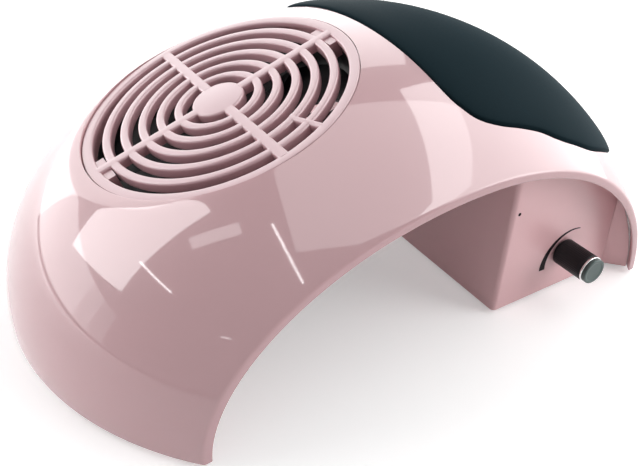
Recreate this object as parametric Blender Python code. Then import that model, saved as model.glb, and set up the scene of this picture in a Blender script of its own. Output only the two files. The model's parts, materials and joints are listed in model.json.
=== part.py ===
"""Tabletop nail dust collector.

An arched shell stands on the table like a small bridge. A round grille with a
fan under it fills its left half, a soft hand rest covers its right flank, and
a control box with the speed knob hangs under that flank.

Metres, +Z up, +X along the arch, -Y towards the person who holds the knob.
"""
from math import asin, atan, cos, hypot, pi, radians, sin, sqrt, tan

import bmesh
import bpy
from mathutils import Matrix, Vector

MM = 0.001

# Clearances and cuts
FIT = 0.3 * MM
RUNNING_FIT = 0.12 * MM
OVERRUN = 12.0 * MM

# How many flats stand for a round: large rims, middling parts, small holes
LARGE_STEPS = 40
MIDDLE_STEPS = 20
SMALL_STEPS = 10
TINY_STEPS = 8

# Shell: one half of an ellipsoid on each side of its crest, cut flat in front and behind
CREST_X = 21.1 * MM
CREST_HEIGHT = 108.1 * MM
LEFT_REACH = 163.5 * MM
RIGHT_REACH = 131.5 * MM
DEPTH_REACH = 143.9 * MM
SHELL_HALF_DEPTH = 98.8 * MM
PLAN_FULLNESS_SHARE = 0.9
SHELL_WALL = 3.0 * MM
ARCH_STEPS = 32
DEPTH_STEPS = 10

# Rubber feet
FOOT_HEIGHT = 1.6 * MM
FOOT_RADIUS = 6.0 * MM
FOOT_SOCKET_DEPTH = 1.4 * MM
FOOT_FACE_SHARE = 0.86
FOOT_EDGE_SHARE = 0.5
FOOT_BOSS_WALL = 2.4 * MM
FOOT_BOSS_HEIGHT = 12.0 * MM
FOOT_END_INSET = 24.0 * MM
FOOT_SPREAD_SHARE = 0.72

# Grille over the fan's duct: a flat disc let into the dome, a little steeper than the dome there
DUCT_RADIUS = 57.0 * MM
GRILLE_OFFSET = 64.5 * MM
GRILLE_SINK = 10.73 * MM
GRILLE_EXTRA_TILT = radians(3.15)
GRILLE_OVERLAP = 3.0 * MM
GRILLE_THICKNESS = 2.4 * MM
GRILLE_DISC_RADIUS = 11.3 * MM
SLOT_WIDTH = 4.2 * MM
SLOT_PITCH = 8.0 * MM
SLOT_END_MARGIN = 1.4 * MM
SPOKE_WIDTH = 4.8 * MM
BRIDGE_WIDTH = 2.8 * MM
BRIDGE_ANGLE = radians(-70.5)
BRIDGED_SLOTS = 2
FLAT_MARGIN = 2.0 * MM
FLAT_BLEND = 24.0 * MM
LUG_LENGTH = 16.0 * MM
LUG_WIDTH = 4.4 * MM
LUG_DEPTH = 6.0 * MM
LUG_SINK_SHARE = 0.5

# Fan: duct, motor and impeller share the grille's axis
DUCT_WALL = 2.0 * MM
SEAT_WIDTH = 7.0 * MM
SEAT_HEIGHT = 5.0 * MM
FAN_DEPTH = 28.0 * MM
FLANGE_THICKNESS = 2.4 * MM
FAN_SCREW_OFFSET = 10.0 * MM
FAN_COLUMN_RADIUS = 4.2 * MM
STRUT_WIDTH = 4.0 * MM
STRUT_HEIGHT = 3.0 * MM
MOTOR_PLATE_RADIUS = 21.0 * MM
BEARING_TUBE_WALL = 1.8 * MM
BEARING_TUBE_HEIGHT = 15.5 * MM
SHAFT_RADIUS = 1.5 * MM
SHAFT_END_INSET = 0.6 * MM
BEARING_WALL = 1.4 * MM
BEARING_HEIGHT = 3.0 * MM
BEARING_END_INSET = 0.6 * MM
LOWER_BEARING_RISE = 3.4 * MM
CLIP_THICKNESS = 0.6 * MM
CLIP_WALL = 1.1 * MM
STATOR_WALL = 11.0 * MM
STATOR_HEIGHT = 13.0 * MM
STATOR_POLES = 8
STATOR_SLOT_WIDTH = 3.0 * MM
STATOR_SLOT_DEPTH = 7.0 * MM
HUB_RADIUS = 22.0 * MM
HUB_WALL = 2.0 * MM
HUB_HEIGHT = 18.5 * MM
HUB_DROP = 3.0 * MM
HUB_BOSS_WALL = 2.4 * MM
HUB_BOSS_HEIGHT = 2.6 * MM
TIP_CLEARANCE = 2.0 * MM
BLADE_COUNT = 7
BLADE_THICKNESS = 1.6 * MM
BLADE_SPAN_ANGLE = radians(38.0)
BLADE_CAMBER = 2.2 * MM
BLADE_END_INSET = 1.4 * MM
BLADE_STEPS = (3, 4)
GUARD_THICKNESS = 2.0 * MM
GUARD_RING_WIDTH = 1.8 * MM
GUARD_RINGS = 2
GUARD_SPOKE_WIDTH = 3.0 * MM
GUARD_SPOKE_INSET_SHARE = 0.25
GUARD_COLLAR_HEIGHT = 5.0 * MM
GUARD_COLLAR_WALL = 1.6 * MM

# Hand rest: measured as angles down the right flank and as widths along Y
PAD_START_ANGLE = radians(2.1)
PAD_END_ANGLE = radians(69.0)
PAD_SIDE_MARGIN = 11.8 * MM
PAD_POCKET_DEPTH = 1.5 * MM
PAD_EDGE_PROUD = 0.6 * MM
PAD_CROWN = 2.6 * MM
PAD_CENTRE_SHARE = 0.5
PAD_OUTLINE_SHARES = (
    (0.0, 0.0), (0.0, 0.36), (0.0, 0.68), (0.014, 0.79), (0.042, 0.862), (0.1, 0.908),
    (0.17, 0.931), (0.245, 0.954), (0.31, 0.984), (0.385, 1.0), (0.52, 0.998),
    (0.7, 0.912), (0.86, 0.78), (0.965, 0.57), (1.0, 0.28), (1.0, 0.0),
)
PAD_CURVE_STEPS = 2
PAD_RING_SHARES = (1.0, 0.985, 0.95, 0.86, 0.7, 0.48, 0.24)
PAD_FLOOR_SHARES = (1.0, 0.86, 0.7, 0.48, 0.24)
PAD_EDGE_ROLL_SHARE = 0.14
PAD_ROLLED_CROWN_SHARE = 0.45

# Control box under the right flank
BOX_SIDE_INSET = 42.1 * MM
BOX_WIDTH = 69.6 * MM
BOX_PANEL_RECESS = 10.4 * MM
BOX_LEAN = radians(3.0)
BOX_WALL = 2.5 * MM
BOX_LEDGE = 2.0 * MM
COVER_THICKNESS = 2.4 * MM
WING_THICKNESS = 2.0 * MM
WING_REACH_X = 8.5 * MM
WING_REACH_Y = 9.2 * MM
POST_RADIUS = 4.2 * MM
POST_INSET = 8.0 * MM

# Screws
SCREW_RADIUS = 1.5 * MM
SCREW_HEAD_RADIUS = 2.9 * MM
SCREW_HEAD_HEIGHT = 1.8 * MM
SCREW_CROWN_SHARE = 0.7
SCREW_RIM_SHARE = 0.5
SCREW_BITE = 4.0 * MM
SCREW_DRIVE_WIDTH = 0.9 * MM
SCREW_DRIVE_LENGTH = 3.6 * MM
SCREW_DRIVE_DEPTH = 0.9 * MM
COVER_SCREW_LENGTH = 10.0 * MM
SCREW_SINK_DEPTH = 1.2 * MM

# Speed control on the front panel
KNOB_SIDE_INSET = 32.5 * MM
KNOB_Z = 21.5 * MM
KNOB_WALL = 0.6 * MM
KNOB_GAP = 1.0 * MM
KNOB_BODY_LENGTH = 15.0 * MM
KNOB_RING_HEIGHT = 1.0 * MM
KNOB_NECK_INSET = 2.2 * MM
KNOB_CAP_HEIGHT = 1.5 * MM
KNOB_CAP_INSET = 0.4 * MM
KNOB_EDGE_ROUND = 0.4 * MM
POT_RADIUS = 8.5 * MM
POT_DEPTH = 9.0 * MM
POT_BACK_WALL = 2.0 * MM
POT_BUSHING_RADIUS = 4.0 * MM
POT_BUSHING_LENGTH = 3.0 * MM
POT_NUT_RADIUS = 5.0 * MM
POT_NUT_HEIGHT = 2.0 * MM
POT_SHAFT_RADIUS = 3.0 * MM
POT_SHAFT_REACH = 13.0 * MM

# Circuit board and what it carries
BOARD_HALF_WIDTH = 17.0 * MM
BOARD_THICKNESS = 1.6 * MM
BOARD_FRONT_INSET = 4.5 * MM
BOARD_LENGTH = 94.0 * MM
STANDOFF_RADIUS = 3.0 * MM
BOARD_SCREW_RADIUS = 1.1 * MM
BOARD_SCREW_HEAD_RADIUS = 2.1 * MM
BOARD_SCREW_HEAD_HEIGHT = 1.3 * MM
BOARD_SCREW_INSET = 3.8 * MM
BOARD_FRONT_SCREW_INSET = 22.0 * MM
CAPACITOR_RADIUS = 6.0 * MM
CAPACITOR_HEIGHT = 21.0 * MM
CAPACITOR_BEVEL = 0.8 * MM
CAPACITOR_OFFSET = 9.0 * MM
CAPACITOR_INSET = 35.9 * MM
TRANSFORMER_HALF_WIDTH = 6.5 * MM
TRANSFORMER_HALF_LENGTH = 11.0 * MM
TRANSFORMER_HEIGHT = 17.0 * MM
TRANSFORMER_BOBBIN_MARGIN = 2.4 * MM
TRANSFORMER_OFFSET = 7.0 * MM
TRANSFORMER_INSET = 59.9 * MM
SINK_FINS = 5
SINK_FIN_PITCH = 2.6 * MM
SINK_FIN_WIDTH = 1.1 * MM
SINK_BASE_HEIGHT = 2.0 * MM
SINK_HEIGHT = 18.0 * MM
SINK_HALF_LENGTH = 9.0 * MM
SINK_OFFSET = 8.5 * MM
SINK_INSET = 63.9 * MM
TERMINAL_HALF_WIDTH = 5.0 * MM
TERMINAL_HALF_LENGTH = 4.0 * MM
TERMINAL_HEIGHT = 9.0 * MM
TERMINAL_OFFSET = 6.0 * MM
TERMINAL_END_INSET = 13.0 * MM

# Power inlet on the rear panel, and the leads inside
INLET_SIDE_INSET = 32.5 * MM
INLET_Z = 24.0 * MM
INLET_HALF_WIDTH = 10.0 * MM
INLET_HALF_HEIGHT = 6.5 * MM
INLET_DEPTH = 14.0 * MM
INLET_FLANGE_MARGIN = 3.0 * MM
INLET_FLANGE_HEIGHT = 2.0 * MM
INLET_RECESS_MARGIN = 2.0 * MM
INLET_RECESS_DEPTH = 11.0 * MM
INLET_PIN_RADIUS = 1.2 * MM
INLET_PIN_LENGTH = 8.0 * MM
INLET_PIN_OFFSET = 4.3 * MM
LEAD_RADIUS = 1.8 * MM
LEAD_DROP = 24.0 * MM
LEAD_STRAIGHT = 4.0 * MM
LEAD_ENTRY_DROP = 20.1 * MM
LEAD_BEND_DROP = 12.0 * MM
LEAD_POINTS = 40
LEAD_BEND_SHARE = 0.5
LEAD_END_SHARES = (0.0, 0.5, 1.0)
GROMMET_WALL = 1.8 * MM
GROMMET_FLANGE = 1.6 * MM
GROMMET_FLANGE_HEIGHT = 1.4 * MM

# Colours and finishes: base colour, roughness, metallic
FINISHES = {
    "shell_pink": ((0.78, 0.52, 0.54), 0.22, 0.0),
    "grille_pink": ((0.80, 0.56, 0.57), 0.28, 0.0),
    "pad_black": ((0.030, 0.042, 0.048), 0.55, 0.0),
    "rubber_black": ((0.02, 0.02, 0.02), 0.8, 0.0),
    "fan_black": ((0.025, 0.025, 0.027), 0.45, 0.0),
    "knob_black": ((0.018, 0.019, 0.022), 0.35, 0.0),
    "knob_chrome": ((0.75, 0.76, 0.76), 0.15, 1.0),
    "knob_cap_grey": ((0.12, 0.15, 0.15), 0.4, 0.2),
    "steel": ((0.55, 0.55, 0.56), 0.3, 1.0),
    "motor_iron": ((0.28, 0.28, 0.3), 0.5, 0.8),
    "board_green": ((0.03, 0.17, 0.08), 0.5, 0.0),
    "part_black": ((0.03, 0.03, 0.03), 0.5, 0.0),
    "sleeve_blue": ((0.04, 0.1, 0.3), 0.35, 0.0),
    "coil_yellow": ((0.6, 0.45, 0.1), 0.6, 0.0),
    "heat_sink_aluminium": ((0.7, 0.7, 0.72), 0.4, 1.0),
    "terminal_green": ((0.05, 0.35, 0.16), 0.5, 0.0),
    "lead_grey": ((0.12, 0.12, 0.13), 0.6, 0.0),
}

# Places and heights that follow from the sizes above
BOX_RIGHT_X = CREST_X + RIGHT_REACH - BOX_SIDE_INSET
BOX_LEFT_X = BOX_RIGHT_X - BOX_WIDTH
BOX_HALF_DEPTH = SHELL_HALF_DEPTH - BOX_PANEL_RECESS
PAD_HALF_WIDTH = SHELL_HALF_DEPTH - PAD_SIDE_MARGIN
KNOB_X = BOX_RIGHT_X - KNOB_SIDE_INSET
KNOB_HOLLOW_RADIUS = POT_NUT_RADIUS + FIT + FIT
KNOB_RADIUS = KNOB_HOLLOW_RADIUS + KNOB_WALL
INLET_X = BOX_RIGHT_X - INLET_SIDE_INSET
LEAD_ENTRY_Z = CREST_HEIGHT - LEAD_ENTRY_DROP
GRILLE_X = CREST_X - GRILLE_OFFSET
GRILLE_RADIUS = DUCT_RADIUS + GRILLE_OVERLAP
GRILLE_REACH_SHARE = GRILLE_OFFSET / LEFT_REACH
GRILLE_HEIGHT_SHARE = sqrt(1.0 - GRILLE_REACH_SHARE ** 2)
GRILLE_Z = CREST_HEIGHT * GRILLE_HEIGHT_SHARE - GRILLE_SINK
DOME_SLOPE = CREST_HEIGHT * GRILLE_REACH_SHARE / (LEFT_REACH * GRILLE_HEIGHT_SHARE)
GRILLE_TILT = atan(DOME_SLOPE) + GRILLE_EXTRA_TILT
SLOT_SPAN = DUCT_RADIUS - SLOT_END_MARGIN - GRILLE_DISC_RADIUS - SLOT_WIDTH
SLOT_COUNT = int(SLOT_SPAN / SLOT_PITCH) + 1
FAN_SCREW_CIRCLE = DUCT_RADIUS + FAN_SCREW_OFFSET
COVER_TOP = FOOT_HEIGHT + COVER_THICKNESS
LEDGE_BOTTOM = COVER_TOP + FIT
LEDGE_TOP = LEDGE_BOTTOM + BOX_LEDGE
GRILLE_LEDGE = -(GRILLE_THICKNESS + FIT)
SEAT_BOTTOM = GRILLE_LEDGE - SEAT_HEIGHT
FAN_TOP = SEAT_BOTTOM - FIT
FAN_BOTTOM = FAN_TOP - FAN_DEPTH
GUARD_TOP = FAN_BOTTOM - FIT
GUARD_BOTTOM = GUARD_TOP - GUARD_THICKNESS
MOTOR_PLATE_TOP = FAN_BOTTOM + STRUT_HEIGHT
BEARING_BORE = SHAFT_RADIUS + RUNNING_FIT
BEARING_RADIUS = BEARING_BORE + BEARING_WALL
BEARING_TUBE_BORE = BEARING_RADIUS + FIT
BEARING_TUBE_RADIUS = BEARING_TUBE_BORE + BEARING_TUBE_WALL
BEARING_TUBE_TOP = MOTOR_PLATE_TOP + BEARING_TUBE_HEIGHT
HUB_TOP = FAN_TOP - HUB_DROP
BOARD_TOP = KNOB_Z - POT_RADIUS - FIT
BOARD_BOTTOM = BOARD_TOP - BOARD_THICKNESS
BOARD_FRONT = -BOX_HALF_DEPTH + BOARD_FRONT_INSET
BOARD_REAR = BOARD_FRONT + BOARD_LENGTH
BOARD_X = (BOX_LEFT_X + BOX_RIGHT_X) / 2.0
PANEL_BACK = -(BOX_WALL + FIT)
KNOB_TIP = KNOB_GAP + KNOB_BODY_LENGTH + FIT + KNOB_RING_HEIGHT + FIT + KNOB_CAP_HEIGHT


# Shapes

def box_shape(low, high):
    """A block between two opposite corners."""
    shape = bmesh.new()
    bmesh.ops.create_cube(shape, size=1.0)
    low, high = Vector(low), Vector(high)
    size = high - low
    for vertex in shape.verts:
        vertex.co = Vector(low[k] + (vertex.co[k] + 0.5) * size[k] for k in range(3))
    return shape


def prism(points, bottom, top):
    """A polygon in the XY plane, given anticlockwise, raised from bottom to top."""
    shape = bmesh.new()
    lower = [shape.verts.new((x, y, bottom)) for x, y in points]
    upper = [shape.verts.new((x, y, top)) for x, y in points]
    shape.faces.new(reversed(lower))
    shape.faces.new(upper)
    count = len(points)
    for k in range(count):
        after = (k + 1) % count
        shape.faces.new((lower[k], lower[after], upper[after], upper[k]))
    return shape


def arc(radius, start, end, steps):
    """Points along an arc about the Z axis, both ends included."""
    angles = [start + (end - start) * k / steps for k in range(steps + 1)]
    return [(radius * cos(a), radius * sin(a)) for a in angles]


def cylinder(radius, bottom, top, centre=(0.0, 0.0), steps=MIDDLE_STEPS):
    ring = arc(radius, 0.0, 2 * pi * (steps - 1) / steps, steps - 1)
    return prism([(centre[0] + x, centre[1] + y) for x, y in ring], bottom, top)


def lathe(profile, steps=MIDDLE_STEPS):
    """A closed profile of (radius, height) turned about the Z axis.

    A profile that starts and ends on the axis makes a solid piece, and one
    that stays off the axis makes a ring.
    """
    shape = bmesh.new()
    rings = []
    for radius, height in profile:
        if radius == 0.0:
            rings.append([shape.verts.new((0.0, 0.0, height))])
            continue
        angles = [2 * pi * k / steps for k in range(steps)]
        rings.append([shape.verts.new((radius * cos(a), radius * sin(a), height)) for a in angles])
    for first, second in zip(rings, rings[1:] + rings[:1]):
        if len(first) == 1 and len(second) == 1:
            continue
        for k in range(steps):
            after = (k + 1) % steps
            corners = [first[k % len(first)], first[after % len(first)],
                       second[after % len(second)], second[k % len(second)]]
            distinct = []
            for corner in corners:
                if corner not in distinct:
                    distinct.append(corner)
            shape.faces.new(distinct)
    bmesh.ops.recalc_face_normals(shape, faces=shape.faces)
    return shape


def tube(inner, outer, bottom, top, steps=MIDDLE_STEPS):
    return lathe([(inner, bottom), (outer, bottom), (outer, top), (inner, top)], steps)


def moved(shape, matrix):
    bmesh.ops.transform(shape, matrix=matrix, verts=shape.verts)
    return shape


def joined(shapes):
    """Several closed shapes held in one mesh, still separate bodies."""
    total = bmesh.new()
    for shape in shapes:
        mesh = bpy.data.meshes.new("piece")
        shape.to_mesh(mesh)
        shape.free()
        total.from_mesh(mesh)
        bpy.data.meshes.remove(mesh)
    return total


# Objects

def finish(name):
    """The material of that name, made on first use."""
    material = bpy.data.materials.get(name)
    if material:
        return material
    colour, roughness, metallic = FINISHES[name]
    material = bpy.data.materials.new(name)
    material.use_nodes = True
    shader = material.node_tree.nodes["Principled BSDF"]
    shader.inputs["Base Color"].default_value = (*colour, 1.0)
    shader.inputs["Roughness"].default_value = roughness
    shader.inputs["Metallic"].default_value = metallic
    material.diffuse_color = (*colour, 1.0)
    return material


def new_object(name, data, parent):
    item = bpy.data.objects.new(name, data)
    bpy.context.scene.collection.objects.link(item)
    item.parent = parent
    return item


def new_empty(name, location, rotation, parent=None):
    item = new_object(name, None, parent)
    item.location = location
    item.rotation_euler = rotation
    return item


def new_piece(name, shape, material, parent, smooth_angle=radians(35.0)):
    """A named sub-part made from a shape in its parent's frame."""
    mesh = bpy.data.meshes.new(name)
    shape.to_mesh(mesh)
    shape.free()
    mesh.materials.append(finish(material))
    mesh.shade_smooth()
    mesh.set_sharp_from_angle(angle=smooth_angle)
    return new_object(name, mesh, parent)


def combine(piece, operation, shape, label, parent=None):
    """Cut, join or intersect a piece with a hidden tool shape in the same frame."""
    mesh = bpy.data.meshes.new(f"{piece.name}_{label}")
    shape.to_mesh(mesh)
    shape.free()
    tool = new_object(f"{piece.name}_{label}", mesh, parent or piece.parent)
    tool.hide_render = True
    tool.display_type = "WIRE"
    use_tool(piece, operation, tool)
    return tool


def use_tool(piece, operation, tool):
    step = piece.modifiers.new(tool.name, "BOOLEAN")
    step.operation = operation
    step.solver = "EXACT"
    step.object = tool


# Dome

def depth_scale(y, inset):
    return sqrt(1.0 - (y / (DEPTH_REACH - inset)) ** 2)


def dome_point(angle, y, inset):
    """A point of the dome, drawn in by inset; angle runs from the left foot over the crest."""
    scale = depth_scale(y, inset)
    reach = (LEFT_REACH if cos(angle) > 0.0 else RIGHT_REACH) - inset
    x = CREST_X - reach * scale ** PLAN_FULLNESS_SHARE * cos(angle)
    return Vector((x, y, (CREST_HEIGHT - inset) * scale * sin(angle)))


def rim_angle(y, inset):
    return asin(FOOT_HEIGHT / ((CREST_HEIGHT - inset) * depth_scale(y, inset)))


def flattened(point, inset):
    """Pull a point of the dome onto the grille's plane near the grille."""
    across = point - Vector((GRILLE_X, 0.0, GRILLE_Z))
    normal = Vector((-sin(GRILLE_TILT), 0.0, cos(GRILLE_TILT)))
    height = across.dot(normal)
    radius = (across - height * normal).length
    share = (radius - GRILLE_RADIUS - FLAT_MARGIN) / FLAT_BLEND
    share = min(max(share, 0.0), 1.0)
    weight = 1.0 - share * share * (3.0 - 2.0 * share)
    return point - normal * (height + inset) * weight


def dome_rows(inset):
    rows = []
    for j in range(DEPTH_STEPS + 1):
        y = SHELL_HALF_DEPTH * (2.0 * j / DEPTH_STEPS - 1.0)
        start = rim_angle(y, inset)
        angles = [start + (pi - 2.0 * start) * k / ARCH_STEPS for k in range(ARCH_STEPS + 1)]
        rows.append([flattened(dome_point(a, y, inset), inset) for a in angles])
    return rows


def shell_shape():
    """The dome's wall: an outer and an inner skin joined round the rim."""
    shape = bmesh.new()
    outer = [[shape.verts.new(p) for p in row] for row in dome_rows(0.0)]
    inner = [[shape.verts.new(p) for p in row] for row in dome_rows(SHELL_WALL)]
    for skin in (outer, inner):
        for near, far in zip(skin, skin[1:]):
            for k in range(ARCH_STEPS):
                shape.faces.new((near[k], near[k + 1], far[k + 1], far[k]))
    edges = [
        (outer[0], inner[0]), (outer[-1], inner[-1]),
        ([row[0] for row in outer], [row[0] for row in inner]),
        ([row[-1] for row in outer], [row[-1] for row in inner]),
    ]
    for outside, inside in edges:
        for k in range(len(outside) - 1):
            shape.faces.new((outside[k], outside[k + 1], inside[k + 1], inside[k]))
    bmesh.ops.recalc_face_normals(shape, faces=shape.faces)
    return shape


def dome_volume(inset):
    """The whole space under the dome drawn in by inset, down to below the table."""
    shape = bmesh.new()
    rows = []
    for row in dome_rows(inset):
        left, right = row[0].copy(), row[-1].copy()
        left.z = right.z = -OVERRUN
        rows.append([shape.verts.new(p) for p in [left, *row, right]])
    for near, far in zip(rows, rows[1:]):
        count = len(near)
        for k in range(count):
            after = (k + 1) % count
            shape.faces.new((near[k], near[after], far[after], far[k]))
    shape.faces.new(rows[0])
    shape.faces.new(rows[-1])
    bmesh.ops.recalc_face_normals(shape, faces=shape.faces)
    return shape


def fan_matrix():
    """From the grille's own frame, with its outer face at height 0, to the shell's frame."""
    turn = Matrix.Rotation(-GRILLE_TILT, 4, "Y")
    return Matrix.Translation((GRILLE_X, 0.0, GRILLE_Z)) @ turn


def corner_angles():
    return [radians(45.0 + 90.0 * k) for k in range(4)]


def fan_screw_spots():
    return [(FAN_SCREW_CIRCLE * cos(a), FAN_SCREW_CIRCLE * sin(a)) for a in corner_angles()]


def post_spots():
    """Where the shell's posts come down inside the control box."""
    left = BOX_LEFT_X + BOX_WALL + BOX_LEDGE + POST_INSET
    right = BOX_RIGHT_X - BOX_WALL - BOX_LEDGE - POST_INSET
    end = BOX_HALF_DEPTH - BOX_WALL - BOX_LEDGE - POST_INSET
    return [(left, -end), (right, -end), (right, end), (left, end)]


def rim_foot_spots():
    """Two spots just inside the left rim, each on a boss that bites half into the wall."""
    spots = []
    y = SHELL_HALF_DEPTH - FOOT_END_INSET
    on_rim = dome_point(rim_angle(y, 0.0), y, 0.0)
    normal = Vector(((CREST_X - on_rim.x) / LEFT_REACH ** 2, -y / DEPTH_REACH ** 2)).normalized()
    distance = SHELL_WALL + FOOT_RADIUS + FIT
    for side in (-1.0, 1.0):
        spots.append((on_rim.x + normal.x * distance, side * (y + normal.y * distance)))
    return spots


def cover_foot_spots():
    """Four spots under the control box, between its screws."""
    return [(x, y * FOOT_SPREAD_SHARE) for x, y in post_spots()]


def build_shell(body):
    shell = new_piece("outer_shell", shell_shape(), "shell_pink", body)
    to_fan = fan_matrix()

    bosses = [cylinder(POST_RADIUS, LEDGE_BOTTOM, CREST_HEIGHT, spot, SMALL_STEPS) for spot in post_spots()]
    for spot in rim_foot_spots():
        boss_radius = FOOT_RADIUS + FIT + FOOT_BOSS_WALL
        bosses.append(cylinder(boss_radius, FOOT_HEIGHT, FOOT_BOSS_HEIGHT, spot, MIDDLE_STEPS))
    for spot in fan_screw_spots():
        column = cylinder(FAN_COLUMN_RADIUS, SEAT_BOTTOM + FIT, OVERRUN, spot, SMALL_STEPS)
        bosses.append(moved(column, to_fan))
    tool = combine(shell, "UNION", joined(bosses), "bosses")
    combine(tool, "INTERSECT", dome_volume(SHELL_WALL / 2.0), "limit")

    seat_top = GRILLE_LEDGE + FIT
    seat = cylinder(DUCT_RADIUS + SEAT_WIDTH, SEAT_BOTTOM, seat_top, steps=LARGE_STEPS)
    combine(shell, "UNION", moved(seat, to_fan), "seat")
    recess = cylinder(GRILLE_RADIUS + FIT, GRILLE_LEDGE, OVERRUN, steps=LARGE_STEPS)
    combine(shell, "DIFFERENCE", moved(recess, to_fan), "recess")
    bore = cylinder(DUCT_RADIUS, -OVERRUN, OVERRUN, steps=LARGE_STEPS)
    combine(shell, "DIFFERENCE", moved(bore, to_fan), "bore")

    pocket = pad_solid(-PAD_POCKET_DEPTH, OVERRUN, OVERRUN, FIT)
    combine(shell, "DIFFERENCE", pocket, "pocket")

    holes = []
    for spot in post_spots():
        top = COVER_TOP + COVER_SCREW_LENGTH
        holes.append(cylinder(SCREW_RADIUS + FIT, -OVERRUN, top, spot, TINY_STEPS))
    for spot in fan_screw_spots():
        top = SEAT_BOTTOM + SCREW_BITE + FIT
        pilot = cylinder(SCREW_RADIUS + FIT, SEAT_BOTTOM - OVERRUN, top, spot, TINY_STEPS)
        holes.append(moved(pilot, to_fan))
    for spot in rim_foot_spots():
        top = FOOT_HEIGHT + FOOT_SOCKET_DEPTH
        holes.append(cylinder(FOOT_RADIUS + FIT, -OVERRUN, top, spot, MIDDLE_STEPS))
    combine(shell, "DIFFERENCE", joined(holes), "holes")
    return shell


# Hand rest

def smooth_closed(points, steps):
    """A closed Catmull-Rom curve through points, with that many steps in each stretch."""
    curve = []
    count = len(points)
    for k in range(count):
        before, start, end, after = (points[(k + shift) % count] for shift in (-1, 0, 1, 2))
        for step in range(steps):
            t = step / steps
            curve.append(tuple(
                0.5 * (2.0 * b + (c - a) * t + (2.0 * a - 5.0 * b + 4.0 * c - d) * t * t
                       + (3.0 * b - a - 3.0 * c + d) * t ** 3)
                for a, b, c, d in zip(before, start, end, after)))
    return curve


def pad_outline():
    """The pad's outline as shares of its angle and of its half width."""
    half = list(PAD_OUTLINE_SHARES)
    mirrored = [(a, -w) for a, w in reversed(half[1:-1])]
    return smooth_closed(half + mirrored, PAD_CURVE_STEPS)


def pad_point(angle_share, width_share, height):
    """A point over the pad's area, at a height above the dome."""
    angle = PAD_START_ANGLE + (PAD_END_ANGLE - PAD_START_ANGLE) * angle_share
    return dome_point(pi / 2.0 + angle, width_share * PAD_HALF_WIDTH, -height)


def pad_solid(floor, edge_height, centre_height, margin):
    """A crowned layer on the dome, from floor up, with its outline widened by margin."""
    outline = pad_outline()
    shape = bmesh.new()
    grow_angle = margin / (RIGHT_REACH * (PAD_END_ANGLE - PAD_START_ANGLE))
    grow_width = margin / PAD_HALF_WIDTH

    def ring(share, height):
        points = []
        for a, w in outline:
            out_a = a - PAD_CENTRE_SHARE
            size = hypot(out_a, w)
            grown_a = PAD_CENTRE_SHARE + out_a * share + grow_angle * out_a / size
            grown_w = w * share + grow_width * w / size
            points.append(shape.verts.new(pad_point(grown_a, grown_w, height)))
        return points

    def height_at(share):
        roll = min((1.0 - share) / PAD_EDGE_ROLL_SHARE, 1.0)
        crown = sqrt(1.0 - (1.0 - roll) ** 2)
        swell = 1.0 - share * share
        rise = swell + (crown - swell) * PAD_ROLLED_CROWN_SHARE
        return edge_height + (centre_height - edge_height) * rise

    lower = [ring(share, floor) for share in PAD_FLOOR_SHARES]
    upper = [ring(share, height_at(share)) for share in PAD_RING_SHARES]
    count = len(outline)
    for rings in (lower, upper):
        for outside, inside in zip(rings, rings[1:]):
            for k in range(count):
                after = (k + 1) % count
                shape.faces.new((outside[k], outside[after], inside[after], inside[k]))
    for k in range(count):
        after = (k + 1) % count
        shape.faces.new((lower[0][k], lower[0][after], upper[0][after], upper[0][k]))
    for rings, height in ((lower, floor), (upper, height_at(0.0))):
        centre = shape.verts.new(pad_point(PAD_CENTRE_SHARE, 0.0, height))
        for k in range(count):
            shape.faces.new((rings[-1][k], rings[-1][(k + 1) % count], centre))
    bmesh.ops.recalc_face_normals(shape, faces=shape.faces)
    return shape


def build_pad(body):
    shape = pad_solid(FIT - PAD_POCKET_DEPTH, PAD_EDGE_PROUD, PAD_EDGE_PROUD + PAD_CROWN, 0.0)
    return new_piece("hand_rest_cushion", shape, "pad_black", body)


# Grille

def slot_sector(inner, outer, start, end, start_half, end_half):
    """One slot between two straight-sided bars whose half widths are given."""
    steps = max(4, round(outer * (end - start) / (2.0 * SLOT_WIDTH)))
    outside = arc(outer, start + asin(start_half / outer), end - asin(end_half / outer), steps)
    inside = arc(inner, start + asin(start_half / inner), end - asin(end_half / inner), steps)
    return prism(outside + inside[::-1], -OVERRUN, OVERRUN)


def grille_slots():
    slots = []
    half = SPOKE_WIDTH / 2.0
    for number in range(SLOT_COUNT):
        inner = GRILLE_DISC_RADIUS + number * SLOT_PITCH
        outer = inner + SLOT_WIDTH
        for quarter in range(4):
            start = -pi / 2.0 + quarter * pi / 2.0
            end = start + pi / 2.0
            if quarter == 0 and number >= SLOT_COUNT - BRIDGED_SLOTS:
                bridge = BRIDGE_WIDTH / 2.0
                slots.append(slot_sector(inner, outer, start, BRIDGE_ANGLE, half, bridge))
                slots.append(slot_sector(inner, outer, BRIDGE_ANGLE, end, bridge, half))
            else:
                slots.append(slot_sector(inner, outer, start, end, half, half))
    return joined(slots)


def build_grille(axis):
    disc = cylinder(GRILLE_RADIUS, -GRILLE_THICKNESS, 0.0, steps=LARGE_STEPS)
    grille = new_piece("grille_cover", disc, "grille_pink", axis)
    combine(grille, "DIFFERENCE", grille_slots(), "slots")
    lugs = []
    outside = sqrt(DUCT_RADIUS ** 2 - (LUG_LENGTH / 2.0) ** 2) - 2.0 * FIT
    for side in (-1.0, 1.0):
        near, far = sorted((side * (outside - LUG_WIDTH), side * outside))
        low = (near, -LUG_LENGTH / 2.0, -GRILLE_THICKNESS - LUG_DEPTH)
        high = (far, LUG_LENGTH / 2.0, -GRILLE_THICKNESS * LUG_SINK_SHARE)
        lugs.append(box_shape(low, high))
    combine(grille, "UNION", joined(lugs), "lugs")
    return grille


# Fan

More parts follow.
